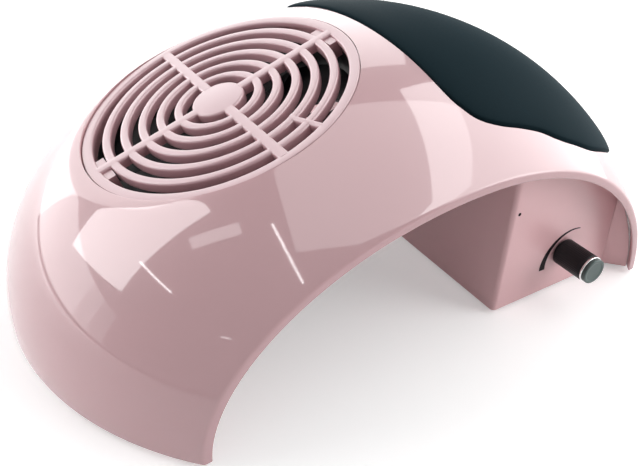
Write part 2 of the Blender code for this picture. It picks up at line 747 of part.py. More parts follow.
def build_fan_housing(axis):
    flange = DUCT_RADIUS + SEAT_WIDTH
    wall = DUCT_RADIUS + DUCT_WALL
    profile = [
        (DUCT_RADIUS, FAN_BOTTOM), (flange, FAN_BOTTOM), (flange, FAN_BOTTOM + FLANGE_THICKNESS),
        (wall, FAN_BOTTOM + FLANGE_THICKNESS), (wall, FAN_TOP - FLANGE_THICKNESS),
        (flange, FAN_TOP - FLANGE_THICKNESS), (flange, FAN_TOP), (DUCT_RADIUS, FAN_TOP),
    ]
    housing = new_piece("fan_housing", lathe(profile, LARGE_STEPS), "fan_black", axis)
    reach = DUCT_RADIUS + DUCT_WALL / 2.0
    half = STRUT_WIDTH / 2.0
    struts = [(-reach, -half, reach, half), (-half, -reach, half, reach)]
    for number, (x0, y0, x1, y1) in enumerate(struts):
        strut = box_shape((x0, y0, FAN_BOTTOM), (x1, y1, MOTOR_PLATE_TOP - FIT))
        turned = moved(strut, Matrix.Rotation(radians(45.0), 4, "Z"))
        combine(housing, "UNION", turned, f"strut_{number + 1}")
    mount = lathe([
        (0.0, FAN_BOTTOM), (MOTOR_PLATE_RADIUS, FAN_BOTTOM), (MOTOR_PLATE_RADIUS, MOTOR_PLATE_TOP),
        (BEARING_TUBE_RADIUS, MOTOR_PLATE_TOP), (BEARING_TUBE_RADIUS, BEARING_TUBE_TOP),
        (0.0, BEARING_TUBE_TOP),
    ], MIDDLE_STEPS)
    combine(housing, "UNION", mount, "motor_mount")
    columns = [cylinder(FAN_COLUMN_RADIUS, FAN_BOTTOM, FAN_TOP, s, SMALL_STEPS) for s in fan_screw_spots()]
    combine(housing, "UNION", joined(columns), "columns")
    low, high = FAN_BOTTOM - OVERRUN, FAN_TOP + OVERRUN
    holes = [cylinder(SCREW_RADIUS + FIT, low, high, spot, TINY_STEPS) for spot in fan_screw_spots()]
    holes.append(cylinder(BEARING_TUBE_BORE, low, high, steps=SMALL_STEPS))
    combine(housing, "DIFFERENCE", joined(holes), "holes")
    return housing


def build_stator(axis):
    bottom = MOTOR_PLATE_TOP + FIT
    inner = BEARING_TUBE_RADIUS + FIT
    outer = inner + STATOR_WALL
    core = tube(inner, outer, bottom, bottom + STATOR_HEIGHT, MIDDLE_STEPS)
    stator = new_piece("motor_stator", core, "motor_iron", axis)
    slots = []
    for k in range(STATOR_POLES):
        half = STATOR_SLOT_WIDTH / 2.0
        low = (outer - STATOR_SLOT_DEPTH, -half, bottom - OVERRUN)
        high = (outer + OVERRUN, half, bottom + STATOR_HEIGHT + OVERRUN)
        turn = Matrix.Rotation(2.0 * pi * (k + 0.5) / STATOR_POLES, 4, "Z")
        slots.append(moved(box_shape(low, high), turn))
    combine(stator, "DIFFERENCE", joined(slots), "slots")
    return stator


def build_bearings(axis):
    upper = BEARING_TUBE_TOP - BEARING_END_INSET - BEARING_HEIGHT
    lower = FAN_BOTTOM + LOWER_BEARING_RISE
    for name, bottom in (("upper_bearing", upper), ("lower_bearing", lower)):
        ring = tube(BEARING_BORE, BEARING_RADIUS, bottom, bottom + BEARING_HEIGHT, SMALL_STEPS)
        new_piece(name, ring, "steel", axis)


def blade_shape(turn):
    """One cambered blade, from inside the hub's wall to the tip."""
    shape = bmesh.new()
    root = HUB_RADIUS - HUB_WALL / 2.0
    tip = DUCT_RADIUS - TIP_CLEARANCE
    high = HUB_TOP - BLADE_END_INSET - BLADE_THICKNESS
    low = HUB_TOP - HUB_HEIGHT + BLADE_END_INSET + BLADE_THICKNESS
    radial, chord = BLADE_STEPS
    skins = []
    for side in (1.0, -1.0):
        grid = []
        for i in range(radial + 1):
            radius = root + (tip - root) * i / radial
            row = []
            for j in range(chord + 1):
                share = j / chord
                angle = turn + BLADE_SPAN_ANGLE * (share - 0.5)
                height = high + (low - high) * share + BLADE_CAMBER * sin(pi * share)
                height += side * BLADE_THICKNESS / 2.0
                row.append(shape.verts.new((radius * cos(angle), radius * sin(angle), height)))
            grid.append(row)
        skins.append(grid)
        for near, far in zip(grid, grid[1:]):
            for k in range(chord):
                shape.faces.new((near[k], near[k + 1], far[k + 1], far[k]))
    top, bottom = skins
    borders = [
        (top[0], bottom[0]), (top[-1], bottom[-1]),
        ([row[0] for row in top], [row[0] for row in bottom]),
        ([row[-1] for row in top], [row[-1] for row in bottom]),
    ]
    for above, below in borders:
        for k in range(len(above) - 1):
            shape.faces.new((above[k], above[k + 1], below[k + 1], below[k]))
    bmesh.ops.recalc_face_normals(shape, faces=shape.faces)
    return shape


def build_impeller(axis):
    """Hub cup with its blades, the shaft in its boss and the clip at the shaft's end."""
    cup = HUB_RADIUS - HUB_WALL
    roof = HUB_TOP - HUB_WALL
    boss = SHAFT_RADIUS + FIT + HUB_BOSS_WALL
    boss_end = roof - HUB_BOSS_HEIGHT
    hub = lathe([
        (0.0, HUB_TOP), (HUB_RADIUS, HUB_TOP), (HUB_RADIUS, HUB_TOP - HUB_HEIGHT),
        (cup, HUB_TOP - HUB_HEIGHT), (cup, roof), (boss, roof), (boss, boss_end),
        (SHAFT_RADIUS + FIT, boss_end), (SHAFT_RADIUS + FIT, roof), (0.0, roof),
    ], LARGE_STEPS)
    impeller = new_piece("fan_impeller", hub, "fan_black", axis)
    blades = [blade_shape(2.0 * pi * k / BLADE_COUNT) for k in range(BLADE_COUNT)]
    combine(impeller, "UNION", joined(blades), "blades")
    shaft_end = FAN_BOTTOM + SHAFT_END_INSET
    new_piece("fan_shaft", cylinder(SHAFT_RADIUS, shaft_end, roof - FIT, steps=SMALL_STEPS), "steel", axis)
    clip_top = FAN_BOTTOM + LOWER_BEARING_RISE - FIT
    clip_bore = SHAFT_RADIUS + RUNNING_FIT
    clip = tube(clip_bore, clip_bore + CLIP_WALL, clip_top - CLIP_THICKNESS, clip_top, SMALL_STEPS)
    new_piece("shaft_clip", clip, "steel", axis)


def build_guard(axis):
    """Outlet guard with the short collar that a dust bag is pulled over."""
    flange = DUCT_RADIUS + SEAT_WIDTH
    collar_low = GUARD_BOTTOM - GUARD_COLLAR_HEIGHT
    profile = [
        (DUCT_RADIUS, collar_low), (DUCT_RADIUS + GUARD_COLLAR_WALL, collar_low),
        (DUCT_RADIUS + GUARD_COLLAR_WALL, GUARD_BOTTOM), (flange, GUARD_BOTTOM),
        (flange, GUARD_TOP), (DUCT_RADIUS, GUARD_TOP),
    ]
    guard = new_piece("outlet_guard", lathe(profile, LARGE_STEPS), "fan_black", axis)
    lugs = [cylinder(FAN_COLUMN_RADIUS, GUARD_BOTTOM, GUARD_TOP, s, SMALL_STEPS) for s in fan_screw_spots()]
    combine(guard, "UNION", joined(lugs), "lugs")
    inset = GUARD_THICKNESS * GUARD_SPOKE_INSET_SHARE
    reach = DUCT_RADIUS + GUARD_COLLAR_WALL / 2.0
    half = GUARD_SPOKE_WIDTH / 2.0
    struts = [(-reach, -half, reach, half), (-half, -reach, half, reach)]
    for number, (x0, y0, x1, y1) in enumerate(struts):
        bar = box_shape((x0, y0, GUARD_BOTTOM + inset), (x1, y1, GUARD_TOP - inset))
        combine(guard, "UNION", bar, f"spoke_{number + 1}")
    rings = []
    pitch = DUCT_RADIUS / (GUARD_RINGS + 1)
    for k in range(GUARD_RINGS):
        radius = pitch * (k + 1)
        rings.append(tube(radius, radius + GUARD_RING_WIDTH, GUARD_BOTTOM, GUARD_TOP, MIDDLE_STEPS))
    combine(guard, "UNION", joined(rings), "rings")
    low, high = GUARD_BOTTOM - OVERRUN, GUARD_TOP + OVERRUN
    holes = [cylinder(SCREW_RADIUS + FIT, low, high, spot, TINY_STEPS) for spot in fan_screw_spots()]
    combine(guard, "DIFFERENCE", joined(holes), "holes")
    return guard


# Fasteners

def screw_shape(radius, length, head_radius, head_height, steps=SMALL_STEPS):
    """A pan-head screw with its head's underside at height 0 and its tip upwards."""
    return lathe([
        (0.0, -head_height), (head_radius * SCREW_CROWN_SHARE, -head_height),
        (head_radius, -head_height * SCREW_RIM_SHARE), (head_radius, 0.0),
        (radius, 0.0), (radius, length - radius), (0.0, length),
    ], steps)


def new_screw(name, parent, seat, length):
    shape = screw_shape(SCREW_RADIUS, length, SCREW_HEAD_RADIUS, SCREW_HEAD_HEIGHT)
    screw = new_piece(name, shape, "steel", parent)
    screw.location = seat
    half, width = SCREW_DRIVE_LENGTH / 2.0, SCREW_DRIVE_WIDTH / 2.0
    top = SCREW_DRIVE_DEPTH - SCREW_HEAD_HEIGHT
    bars = [(half, width), (width, half)]
    for number, (x, y) in enumerate(bars):
        bar = box_shape((-x, -y, -OVERRUN), (x, y, top))
        tool = combine(screw, "DIFFERENCE", bar, f"drive_{number + 1}")
        tool.location = seat
    return screw


def build_fan_screws(axis):
    seat = GUARD_BOTTOM - FIT
    length = SEAT_BOTTOM + SCREW_BITE - seat
    for number, (x, y) in enumerate(fan_screw_spots()):
        new_screw(f"fan_screw_{number + 1}", axis, (x, y, seat), length)


def foot_shape():
    top = FOOT_HEIGHT + FOOT_SOCKET_DEPTH - FIT
    return lathe([
        (0.0, 0.0), (FOOT_RADIUS * FOOT_FACE_SHARE, 0.0), (FOOT_RADIUS, FOOT_HEIGHT * FOOT_EDGE_SHARE),
        (FOOT_RADIUS, top), (0.0, top),
    ], MIDDLE_STEPS)


def build_feet(body):
    for number, (x, y) in enumerate(rim_foot_spots() + cover_foot_spots()):
        foot = new_piece(f"rubber_foot_{number + 1}", foot_shape(), "rubber_black", body)
        foot.location = (x, y, 0.0)


# Control box

def lean_block(inset, bottom, top):
    """The box's plan drawn in by inset, with its leaning left side."""
    shape = bmesh.new()
    corners = []
    for z in (bottom, top):
        left = BOX_LEFT_X + inset / cos(BOX_LEAN) + (z - FOOT_HEIGHT) * tan(BOX_LEAN)
        right = BOX_RIGHT_X - inset
        depth = BOX_HALF_DEPTH - inset
        plan = [(left, -depth), (right, -depth), (right, depth), (left, depth)]
        corners.append([shape.verts.new((x, y, z)) for x, y in plan])
    lower, upper = corners
    shape.faces.new(reversed(lower))
    shape.faces.new(upper)
    for k in range(4):
        after = (k + 1) % 4
        shape.faces.new((lower[k], lower[after], upper[after], upper[k]))
    return shape


def wing_shape(side):
    """The reveal that runs from the box's right corner out to the shell's edge."""
    corner = Vector((BOX_RIGHT_X, side * BOX_HALF_DEPTH))
    tip = corner + Vector((WING_REACH_X, side * WING_REACH_Y))
    along = (tip - corner).normalized()
    across = Vector((along.y, -along.x)) * side * -WING_THICKNESS
    root = corner - along * WING_THICKNESS
    points = [root, tip, tip - across, root - across]
    if side > 0.0:
        points.reverse()
    return prism([(p.x, p.y) for p in points], FOOT_HEIGHT, CREST_HEIGHT)


def grommet_matrix():
    """From a frame whose +Z points out of the box's left wall to the shell's frame."""
    x = BOX_LEFT_X + (LEAD_ENTRY_Z - FOOT_HEIGHT) * tan(BOX_LEAN)
    turn = Matrix.Rotation(BOX_LEAN - pi / 2.0, 4, "Y")
    return Matrix.Translation((x, 0.0, LEAD_ENTRY_Z)) @ turn


def grommet_radius():
    return LEAD_RADIUS + FIT + GROMMET_WALL


def panel_matrix(x, z, side):
    """From a frame whose +Z points out of the front (-1) or rear (+1) panel."""
    turn = Matrix.Rotation(-side * pi / 2.0, 4, "X")
    return Matrix.Translation((x, side * BOX_HALF_DEPTH, z)) @ turn


def build_box(body):
    block = lean_block(0.0, FOOT_HEIGHT, CREST_HEIGHT)
    box = new_piece("control_box", block, "shell_pink", body)
    for name, side in (("front_wing", -1.0), ("rear_wing", 1.0)):
        combine(box, "UNION", wing_shape(side), name)
    combine(box, "INTERSECT", dome_volume(SHELL_WALL + FIT), "limit")
    low, high = -OVERRUN, CREST_HEIGHT + OVERRUN
    combine(box, "DIFFERENCE", lean_block(BOX_WALL + BOX_LEDGE, low, high), "core")
    combine(box, "DIFFERENCE", lean_block(BOX_WALL, low, LEDGE_BOTTOM), "cover_seat")
    combine(box, "DIFFERENCE", lean_block(BOX_WALL, LEDGE_TOP, high), "cavity")
    knob_hole = cylinder(POT_BUSHING_RADIUS + FIT, -OVERRUN, OVERRUN, steps=MIDDLE_STEPS)
    width, height = INLET_HALF_WIDTH + FIT, INLET_HALF_HEIGHT + FIT
    inlet_hole = box_shape((-width, -height, -OVERRUN), (width, height, OVERRUN))
    lead_hole = cylinder(grommet_radius() + FIT, -OVERRUN, OVERRUN, steps=SMALL_STEPS)
    holes = [
        moved(knob_hole, panel_matrix(KNOB_X, KNOB_Z, -1.0)),
        moved(inlet_hole, panel_matrix(INLET_X, INLET_Z, 1.0)),
        moved(lead_hole, grommet_matrix()),
    ]
    combine(box, "DIFFERENCE", joined(holes), "holes")
    return box


def standoff_spots():
    x = BOARD_HALF_WIDTH - BOARD_SCREW_INSET
    front = BOARD_FRONT + BOARD_FRONT_SCREW_INSET
    rear = BOARD_REAR - BOARD_SCREW_INSET
    return [(BOARD_X - x, front), (BOARD_X + x, front), (BOARD_X + x, rear), (BOARD_X - x, rear)]


def build_cover(body):
    plate = lean_block(BOX_WALL + FIT, FOOT_HEIGHT, COVER_TOP)
    cover = new_piece("base_cover", plate, "shell_pink", body)
    inside = FOOT_HEIGHT + COVER_THICKNESS / 2.0
    top = BOARD_BOTTOM - FIT
    standoffs = [cylinder(STANDOFF_RADIUS, inside, top, s, SMALL_STEPS) for s in standoff_spots()]
    combine(cover, "UNION", joined(standoffs), "standoffs")
    holes = [cylinder(SCREW_RADIUS + FIT, -OVERRUN, OVERRUN, s, TINY_STEPS) for s in post_spots()]
    pilot = BOARD_SCREW_RADIUS + FIT
    holes += [cylinder(pilot, inside, top + OVERRUN, s, TINY_STEPS) for s in standoff_spots()]
    socket = FOOT_HEIGHT + FOOT_SOCKET_DEPTH
    holes += [cylinder(FOOT_RADIUS + FIT, -OVERRUN, socket, s, MIDDLE_STEPS) for s in cover_foot_spots()]
    combine(cover, "DIFFERENCE", joined(holes), "holes")
    sinks = []
    for spot in post_spots():
        sink_top = FOOT_HEIGHT + SCREW_SINK_DEPTH
        sinks.append(cylinder(SCREW_HEAD_RADIUS + FIT, -OVERRUN, sink_top, spot, SMALL_STEPS))
    combine(cover, "DIFFERENCE", joined(sinks), "sinks")
    seat = FOOT_HEIGHT + SCREW_SINK_DEPTH - FIT
    for number, (x, y) in enumerate(post_spots()):
        length = COVER_TOP + COVER_SCREW_LENGTH - FIT - seat
        new_screw(f"cover_screw_{number + 1}", body, (x, y, seat), length)
    return cover


# Speed control

def build_control(axis):
    """Potentiometer behind the front panel, and the knob with its ring and cap."""
    back = PANEL_BACK - POT_DEPTH
    bore = POT_SHAFT_RADIUS + RUNNING_FIT
    pot = lathe([
        (0.0, back), (POT_RADIUS, back), (POT_RADIUS, PANEL_BACK),
        (POT_BUSHING_RADIUS, PANEL_BACK), (POT_BUSHING_RADIUS, POT_BUSHING_LENGTH),
        (bore, POT_BUSHING_LENGTH), (bore, back + POT_BACK_WALL), (0.0, back + POT_BACK_WALL),
    ], MIDDLE_STEPS)
    new_piece("potentiometer", pot, "part_black", axis)

    hexagon = cylinder(POT_NUT_RADIUS, FIT, FIT + POT_NUT_HEIGHT, steps=6)
    nut = new_piece("panel_nut", hexagon, "steel", axis)
    nut_bore = cylinder(POT_BUSHING_RADIUS + RUNNING_FIT, -OVERRUN, OVERRUN, steps=MIDDLE_STEPS)
    combine(nut, "DIFFERENCE", nut_bore, "bore")

    shaft = cylinder(POT_SHAFT_RADIUS, back + POT_BACK_WALL + FIT, POT_SHAFT_REACH, steps=MIDDLE_STEPS)
    new_piece("control_shaft", shaft, "steel", axis)

    bottom = KNOB_GAP
    top = bottom + KNOB_BODY_LENGTH
    hollow = KNOB_HOLLOW_RADIUS
    hollow_top = POT_BUSHING_LENGTH + KNOB_GAP
    grip = POT_SHAFT_RADIUS + FIT
    neck = KNOB_RADIUS - KNOB_NECK_INSET
    neck_top = top + FIT + KNOB_RING_HEIGHT
    knob = lathe([
        (hollow, bottom), (KNOB_RADIUS - KNOB_EDGE_ROUND, bottom),
        (KNOB_RADIUS, bottom + KNOB_EDGE_ROUND), (KNOB_RADIUS, top), (neck, top),
        (neck, neck_top), (0.0, neck_top), (0.0, POT_SHAFT_REACH + FIT),
        (grip, POT_SHAFT_REACH + FIT), (grip, hollow_top), (hollow, hollow_top),
    ], MIDDLE_STEPS)
    new_piece("knob_body", knob, "knob_black", axis)
    ring = tube(neck + RUNNING_FIT, KNOB_RADIUS, top + FIT, neck_top, MIDDLE_STEPS)
    new_piece("knob_ring", ring, "knob_chrome", axis)
    cap_low = neck_top + FIT
    cap_top = cap_low + KNOB_CAP_HEIGHT
    cap_radius = KNOB_RADIUS - KNOB_CAP_INSET
    cap = lathe([
        (0.0, cap_low), (cap_radius, cap_low), (cap_radius, cap_top - KNOB_EDGE_ROUND),
        (cap_radius - KNOB_EDGE_ROUND, cap_top), (0.0, cap_top),
    ], MIDDLE_STEPS)
    new_piece("knob_cap", cap, "knob_cap_grey", axis)


# Inside the control box

def build_board(body):
    low = (BOARD_X - BOARD_HALF_WIDTH, BOARD_FRONT, BOARD_BOTTOM)
    high = (BOARD_X + BOARD_HALF_WIDTH, BOARD_REAR, BOARD_TOP)
    board = new_piece("circuit_board", box_shape(low, high), "board_green", body)
    holes = []
    for spot in standoff_spots():
        holes.append(cylinder(BOARD_SCREW_RADIUS + FIT, 0.0, BOARD_TOP + OVERRUN, spot, TINY_STEPS))
    combine(board, "DIFFERENCE", joined(holes), "holes")
    seat = BOARD_TOP + FIT
    reach = BOARD_THICKNESS + FIT + SCREW_BITE
    for number, (x, y) in enumerate(standoff_spots()):
        shape = screw_shape(BOARD_SCREW_RADIUS, reach, BOARD_SCREW_HEAD_RADIUS,
                            BOARD_SCREW_HEAD_HEIGHT, TINY_STEPS)
        screw = new_piece(f"board_screw_{number + 1}", shape, "steel", body)
        screw.location = (x, y, seat)
        screw.rotation_euler = (pi, 0.0, 0.0)


def build_components(body):
    seat = BOARD_TOP + FIT
    can = lathe([
        (0.0, 0.0), (CAPACITOR_RADIUS, 0.0), (CAPACITOR_RADIUS, CAPACITOR_HEIGHT - CAPACITOR_BEVEL),
        (CAPACITOR_RADIUS - CAPACITOR_BEVEL, CAPACITOR_HEIGHT), (0.0, CAPACITOR_HEIGHT),
    ], MIDDLE_STEPS)
    capacitor = new_piece("capacitor", can, "sleeve_blue", body)
    capacitor.location = (BOARD_X - CAPACITOR_OFFSET, BOARD_FRONT + CAPACITOR_INSET, seat)

    x, y = TRANSFORMER_HALF_WIDTH, TRANSFORMER_HALF_LENGTH
    margin = TRANSFORMER_BOBBIN_MARGIN
    core = box_shape((-x, -y, 0.0), (x, y, TRANSFORMER_HEIGHT))
    transformer = new_piece("transformer", core, "coil_yellow", body)
    transformer.location = (BOARD_X + TRANSFORMER_OFFSET, BOARD_FRONT + TRANSFORMER_INSET, seat)
    bobbin = box_shape((-x - margin, -y + margin, margin),
                       (x + margin, y - margin, TRANSFORMER_HEIGHT - margin))
    tool = combine(transformer, "UNION", bobbin, "bobbin")
    tool.location = transformer.location

    half_width = SINK_FIN_PITCH * (SINK_FINS - 1) / 2.0 + SINK_FIN_WIDTH / 2.0
    comb = []
    for k in range(SINK_FINS):
        left = -half_width + k * SINK_FIN_PITCH
        comb += [(left, SINK_BASE_HEIGHT), (left, SINK_HEIGHT),
                 (left + SINK_FIN_WIDTH, SINK_HEIGHT), (left + SINK_FIN_WIDTH, SINK_BASE_HEIGHT)]
    outline = [(-half_width, 0.0), *comb[1:-1], (half_width, 0.0)]
    sink_shape = prism(outline[::-1], -SINK_HALF_LENGTH, SINK_HALF_LENGTH)
    sink = new_piece("heat_sink", sink_shape, "heat_sink_aluminium", body)
    sink.location = (BOARD_X - SINK_OFFSET, BOARD_FRONT + SINK_INSET, seat)
    sink.rotation_euler = (pi / 2.0, 0.0, 0.0)

    x, y = TERMINAL_HALF_WIDTH, TERMINAL_HALF_LENGTH
    for name, side in (("motor_terminal", -1.0), ("mains_terminal", 1.0)):
        block = box_shape((-x, -y, 0.0), (x, y, TERMINAL_HEIGHT))
        terminal = new_piece(name, block, "terminal_green", body)
        terminal.location = terminal_spot(side)


def terminal_spot(side):
    return Vector((BOARD_X + side * TERMINAL_OFFSET, BOARD_REAR - TERMINAL_END_INSET,
                   BOARD_TOP + FIT))


def build_inlet(axis):
    width, height = INLET_HALF_WIDTH, INLET_HALF_HEIGHT
    margin = INLET_FLANGE_MARGIN
    flange = box_shape((-width - margin, -height - margin, FIT),
                       (width + margin, height + margin, FIT + INLET_FLANGE_HEIGHT))
    inlet = new_piece("power_inlet", flange, "part_black", axis)
    body = box_shape((-width, -height, -INLET_DEPTH), (width, height, INLET_FLANGE_HEIGHT / 2.0))
    combine(inlet, "UNION", body, "body")
    wall = INLET_RECESS_MARGIN
    floor = FIT + INLET_FLANGE_HEIGHT - INLET_RECESS_DEPTH
    recess = box_shape((wall - width, wall - height, floor), (width - wall, height - wall, OVERRUN))
    combine(inlet, "DIFFERENCE", recess, "recess")
    pins = []
    for side in (-1.0, 1.0):
        spot = (side * INLET_PIN_OFFSET, 0.0)
        pins.append(cylinder(INLET_PIN_RADIUS, floor - FIT, floor + INLET_PIN_LENGTH, spot, TINY_STEPS))
    combine(inlet, "UNION", joined(pins), "pins")
    return inlet


def smooth_open(points, steps):
    """A smooth curve through unevenly spaced points, both ends included."""
    gaps = [(after - point).length for point, after in zip(points, points[1:])]
    ways = [(after - point) / gap for point, after, gap in zip(points, points[1:], gaps)]
    slopes = [ways[0]]
    for k in range(1, len(ways)):
        total = gaps[k - 1] + gaps[k]
        slopes.append((ways[k - 1] * gaps[k] + ways[k] * gaps[k - 1]) / total)
    slopes.append(ways[-1])
    curve = []
    for k, gap in enumerate(gaps):
        for step in range(steps):
            t = step / steps
            rest = 1.0 - t
            curve.append(points[k] * (1.0 + 2.0 * t) * rest * rest
                         + points[k + 1] * (3.0 - 2.0 * t) * t * t
                         + slopes[k] * gap * t * rest * rest
                         - slopes[k + 1] * gap * t * t * rest)
    curve.append(points[-1])
    return curve


def new_lead(name, start, start_way, between, end, end_way, body):
    """A round lead that leaves both ends straight and runs smoothly through the points between."""
    route = [start + start_way * LEAD_STRAIGHT * share for share in LEAD_END_SHARES]
    route += between
    route += [end + end_way * LEAD_STRAIGHT * share for share in reversed(LEAD_END_SHARES)]
    curve = bpy.data.curves.new(name, "CURVE")
    curve.dimensions = "3D"
    curve.bevel_depth = LEAD_RADIUS
    curve.bevel_resolution = 2
    curve.use_fill_caps = True
    curve.materials.append(finish("lead_grey"))
    points = smooth_open(route, max(2, LEAD_POINTS // len(route)))
    spline = curve.splines.new("POLY")
    spline.points.add(len(points) - 1)
    for target, point in zip(spline.points, points):
        target.co = (*point, 1.0)
    return new_object(name, curve, body)


def build_leads(body):
    """Motor lead from the duct through the grommet to the board, and the inlet's lead."""
    up = Vector((0.0, 0.0, 1.0))
    on_terminal = up * (TERMINAL_HEIGHT + FIT)
    duct = fan_matrix() @ Vector((DUCT_RADIUS + DUCT_WALL + FIT, 0.0, FAN_TOP - LEAD_DROP / 2.0))
    outward = fan_matrix().to_3x3() @ Vector((1.0, 0.0, 0.0))
    to_wall = grommet_matrix()
    outside = to_wall @ Vector((0.0, 0.0, LEAD_STRAIGHT))
    inside = to_wall @ Vector((0.0, 0.0, -BOX_WALL - LEAD_STRAIGHT))
    end = terminal_spot(-1.0) + on_terminal
    bend = Vector((end.x, end.y * LEAD_BEND_SHARE, inside.z - LEAD_BEND_DROP))
    drop = Vector((end.x, end.y, (bend.z + end.z) / 2.0))
    new_lead("motor_lead", duct, outward, [outside, inside, bend, drop], end, up, body)

    start = panel_matrix(INLET_X, INLET_Z, 1.0) @ Vector((0.0, 0.0, -INLET_DEPTH - FIT))
    end = terminal_spot(1.0) + on_terminal
    middle = (start + end) / 2.0
    middle.z = max(start.z, end.z) + LEAD_STRAIGHT * 2.0
    new_lead("inlet_lead", start, Vector((0.0, -1.0, 0.0)), [middle], end, up, body)


def build_grommet(body):
    bore = LEAD_RADIUS + FIT
    waist = grommet_radius()
    flange = waist + FIT + GROMMET_FLANGE
    front = FIT
    back = -BOX_WALL - FIT
    ring = lathe([
        (bore, back - GROMMET_FLANGE_HEIGHT), (flange, back - GROMMET_FLANGE_HEIGHT), (flange, back),
        (waist, back), (waist, front), (flange, front), (flange, front + GROMMET_FLANGE_HEIGHT),
        (bore, front + GROMMET_FLANGE_HEIGHT),
    ], SMALL_STEPS)
    new_piece("lead_grommet", moved(ring, grommet_matrix()), "rubber_black", body)


def main():
    for item in list(bpy.data.objects):
        bpy.data.objects.remove(item, do_unlink=True)

    middle_x = CREST_X + (RIGHT_REACH - LEFT_REACH) / 2.0
    middle_y = (SHELL_HALF_DEPTH - BOX_HALF_DEPTH - KNOB_TIP) / 2.0
    body = new_empty("dust_collector", (-middle_x, -middle_y, 0.0), (0.0, 0.0, 0.0))
    fan_axis = new_empty("fan_axis", (GRILLE_X, 0.0, GRILLE_Z), (0.0, -GRILLE_TILT, 0.0), body)
    knob_axis = new_empty("knob_axis", (KNOB_X, -BOX_HALF_DEPTH, KNOB_Z), (pi / 2.0, 0.0, 0.0), body)
    inlet_axis = new_empty("inlet_axis", (INLET_X, BOX_HALF_DEPTH, INLET_Z), (-pi / 2.0, 0.0, 0.0), body)

    build_shell(body)
    build_pad(body)
    build_grille(fan_axis)
    build_fan_housing(fan_axis)
    build_stator(fan_axis)
    build_bearings(fan_axis)
    build_impeller(fan_axis)
    build_guard(fan_axis)
    build_fan_screws(fan_axis)
    build_feet(body)
    build_box(body)
    build_cover(body)
    build_control(knob_axis)
    build_board(body)
    build_components(body)
    build_inlet(inlet_axis)
    build_grommet(body)
    build_leads(body)


main()
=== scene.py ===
"""Looks of the tabletop nail dust collector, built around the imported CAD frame.

Shapes are modelled in the shell's own frame, where X and Y start at the middle
of the arch's front and back edges, and SHELL_PLACE moves them to the row frame.
"""

import json
from math import asin, cos, hypot, pi, radians, sin, sqrt, tan

import bmesh
import bpy
from mathutils import Matrix, Vector
from mathutils.bvhtree import BVHTree
from mathutils.interpolate import poly_3d_calc


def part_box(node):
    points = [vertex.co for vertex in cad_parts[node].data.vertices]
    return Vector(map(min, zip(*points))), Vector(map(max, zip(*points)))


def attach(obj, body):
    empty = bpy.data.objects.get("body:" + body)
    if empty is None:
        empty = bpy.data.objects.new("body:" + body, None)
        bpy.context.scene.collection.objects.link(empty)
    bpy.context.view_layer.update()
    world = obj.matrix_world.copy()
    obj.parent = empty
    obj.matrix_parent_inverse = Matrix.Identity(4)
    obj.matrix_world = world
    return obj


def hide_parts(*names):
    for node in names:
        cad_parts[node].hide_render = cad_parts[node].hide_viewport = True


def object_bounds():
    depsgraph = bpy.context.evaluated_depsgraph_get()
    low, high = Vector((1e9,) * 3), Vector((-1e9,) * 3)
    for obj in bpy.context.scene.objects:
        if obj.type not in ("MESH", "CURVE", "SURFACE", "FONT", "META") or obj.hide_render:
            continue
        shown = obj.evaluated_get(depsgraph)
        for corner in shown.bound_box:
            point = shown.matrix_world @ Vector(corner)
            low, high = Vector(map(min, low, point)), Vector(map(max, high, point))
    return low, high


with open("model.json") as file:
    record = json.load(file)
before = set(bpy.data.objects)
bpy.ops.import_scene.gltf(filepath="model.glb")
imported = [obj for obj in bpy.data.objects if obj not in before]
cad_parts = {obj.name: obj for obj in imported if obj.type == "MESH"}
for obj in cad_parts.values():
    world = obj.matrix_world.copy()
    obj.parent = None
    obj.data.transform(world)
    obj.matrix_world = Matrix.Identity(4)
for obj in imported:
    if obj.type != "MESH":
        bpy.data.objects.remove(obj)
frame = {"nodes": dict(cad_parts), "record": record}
cad_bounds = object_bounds()

MM = 0.001
FIT = 0.3 * MM
OVERRUN = 12.0 * MM

# Shell
CREST_X = 21.1 * MM
CREST_HEIGHT = 108.1 * MM
LEFT_REACH = 163.5 * MM
RIGHT_REACH = 131.5 * MM
DEPTH_REACH = 143.9 * MM
SHELL_HALF_DEPTH = 98.8 * MM
PLAN_FULLNESS = 0.9
SHELL_WALL = 3.0 * MM
RIM_ROUND = 0.7 * MM
RIM_ROUND_STEPS = 4
ARCH_STEPS = 230
DEPTH_STEPS = 110
FLAT_BLEND = 0.9 * MM
SEAM_ROUND = 0.55 * MM
SEAM_ROUND_END = radians(105.0)
SEAM_ROUND_STEPS = 5
SEAM_SINK_SHARE = 0.94
SEAM_STEP = 1.0 * MM
BOSS_LIMIT_SHARE = 0.7
SKIN_TOLERANCE = 0.006 * MM
SKIN_ALIGNMENT = 0.985
NORMAL_AGREEMENT = 0.8

# Facets of round shapes and of the dome's inner volumes
TINY_STEPS = 24
SMALL_STEPS = 32
CASING_STEPS = 144
SEAT_STEPS = 160
GRILLE_STEPS = 256
KNOB_STEPS = 128
VOLUME_ARCH_STEPS = 120
BOSS_DEPTH_STEPS = 48
BOX_DEPTH_STEPS = 40

# Angles up to which faces shade smoothly, and edges to be rounded
SMOOTH_ANGLE = radians(35.0)
SHELL_SMOOTH_ANGLE = radians(30.0)
PAD_SMOOTH_ANGLE = radians(60.0)
GRILLE_SMOOTH_ANGLE = radians(45.0)
KNOB_SMOOTH_ANGLE = radians(32.0)
EDGE_ANGLE = radians(40.0)
BOX_EDGE_ANGLE = radians(50.0)

# Feet
FOOT_HEIGHT = 1.6 * MM
FOOT_RADIUS = 6.0 * MM
FOOT_SOCKET_DEPTH = 1.4 * MM
FOOT_BOSS_WALL = 2.4 * MM
FOOT_BOSS_HEIGHT = 12.0 * MM
FOOT_END_INSET = 24.0 * MM

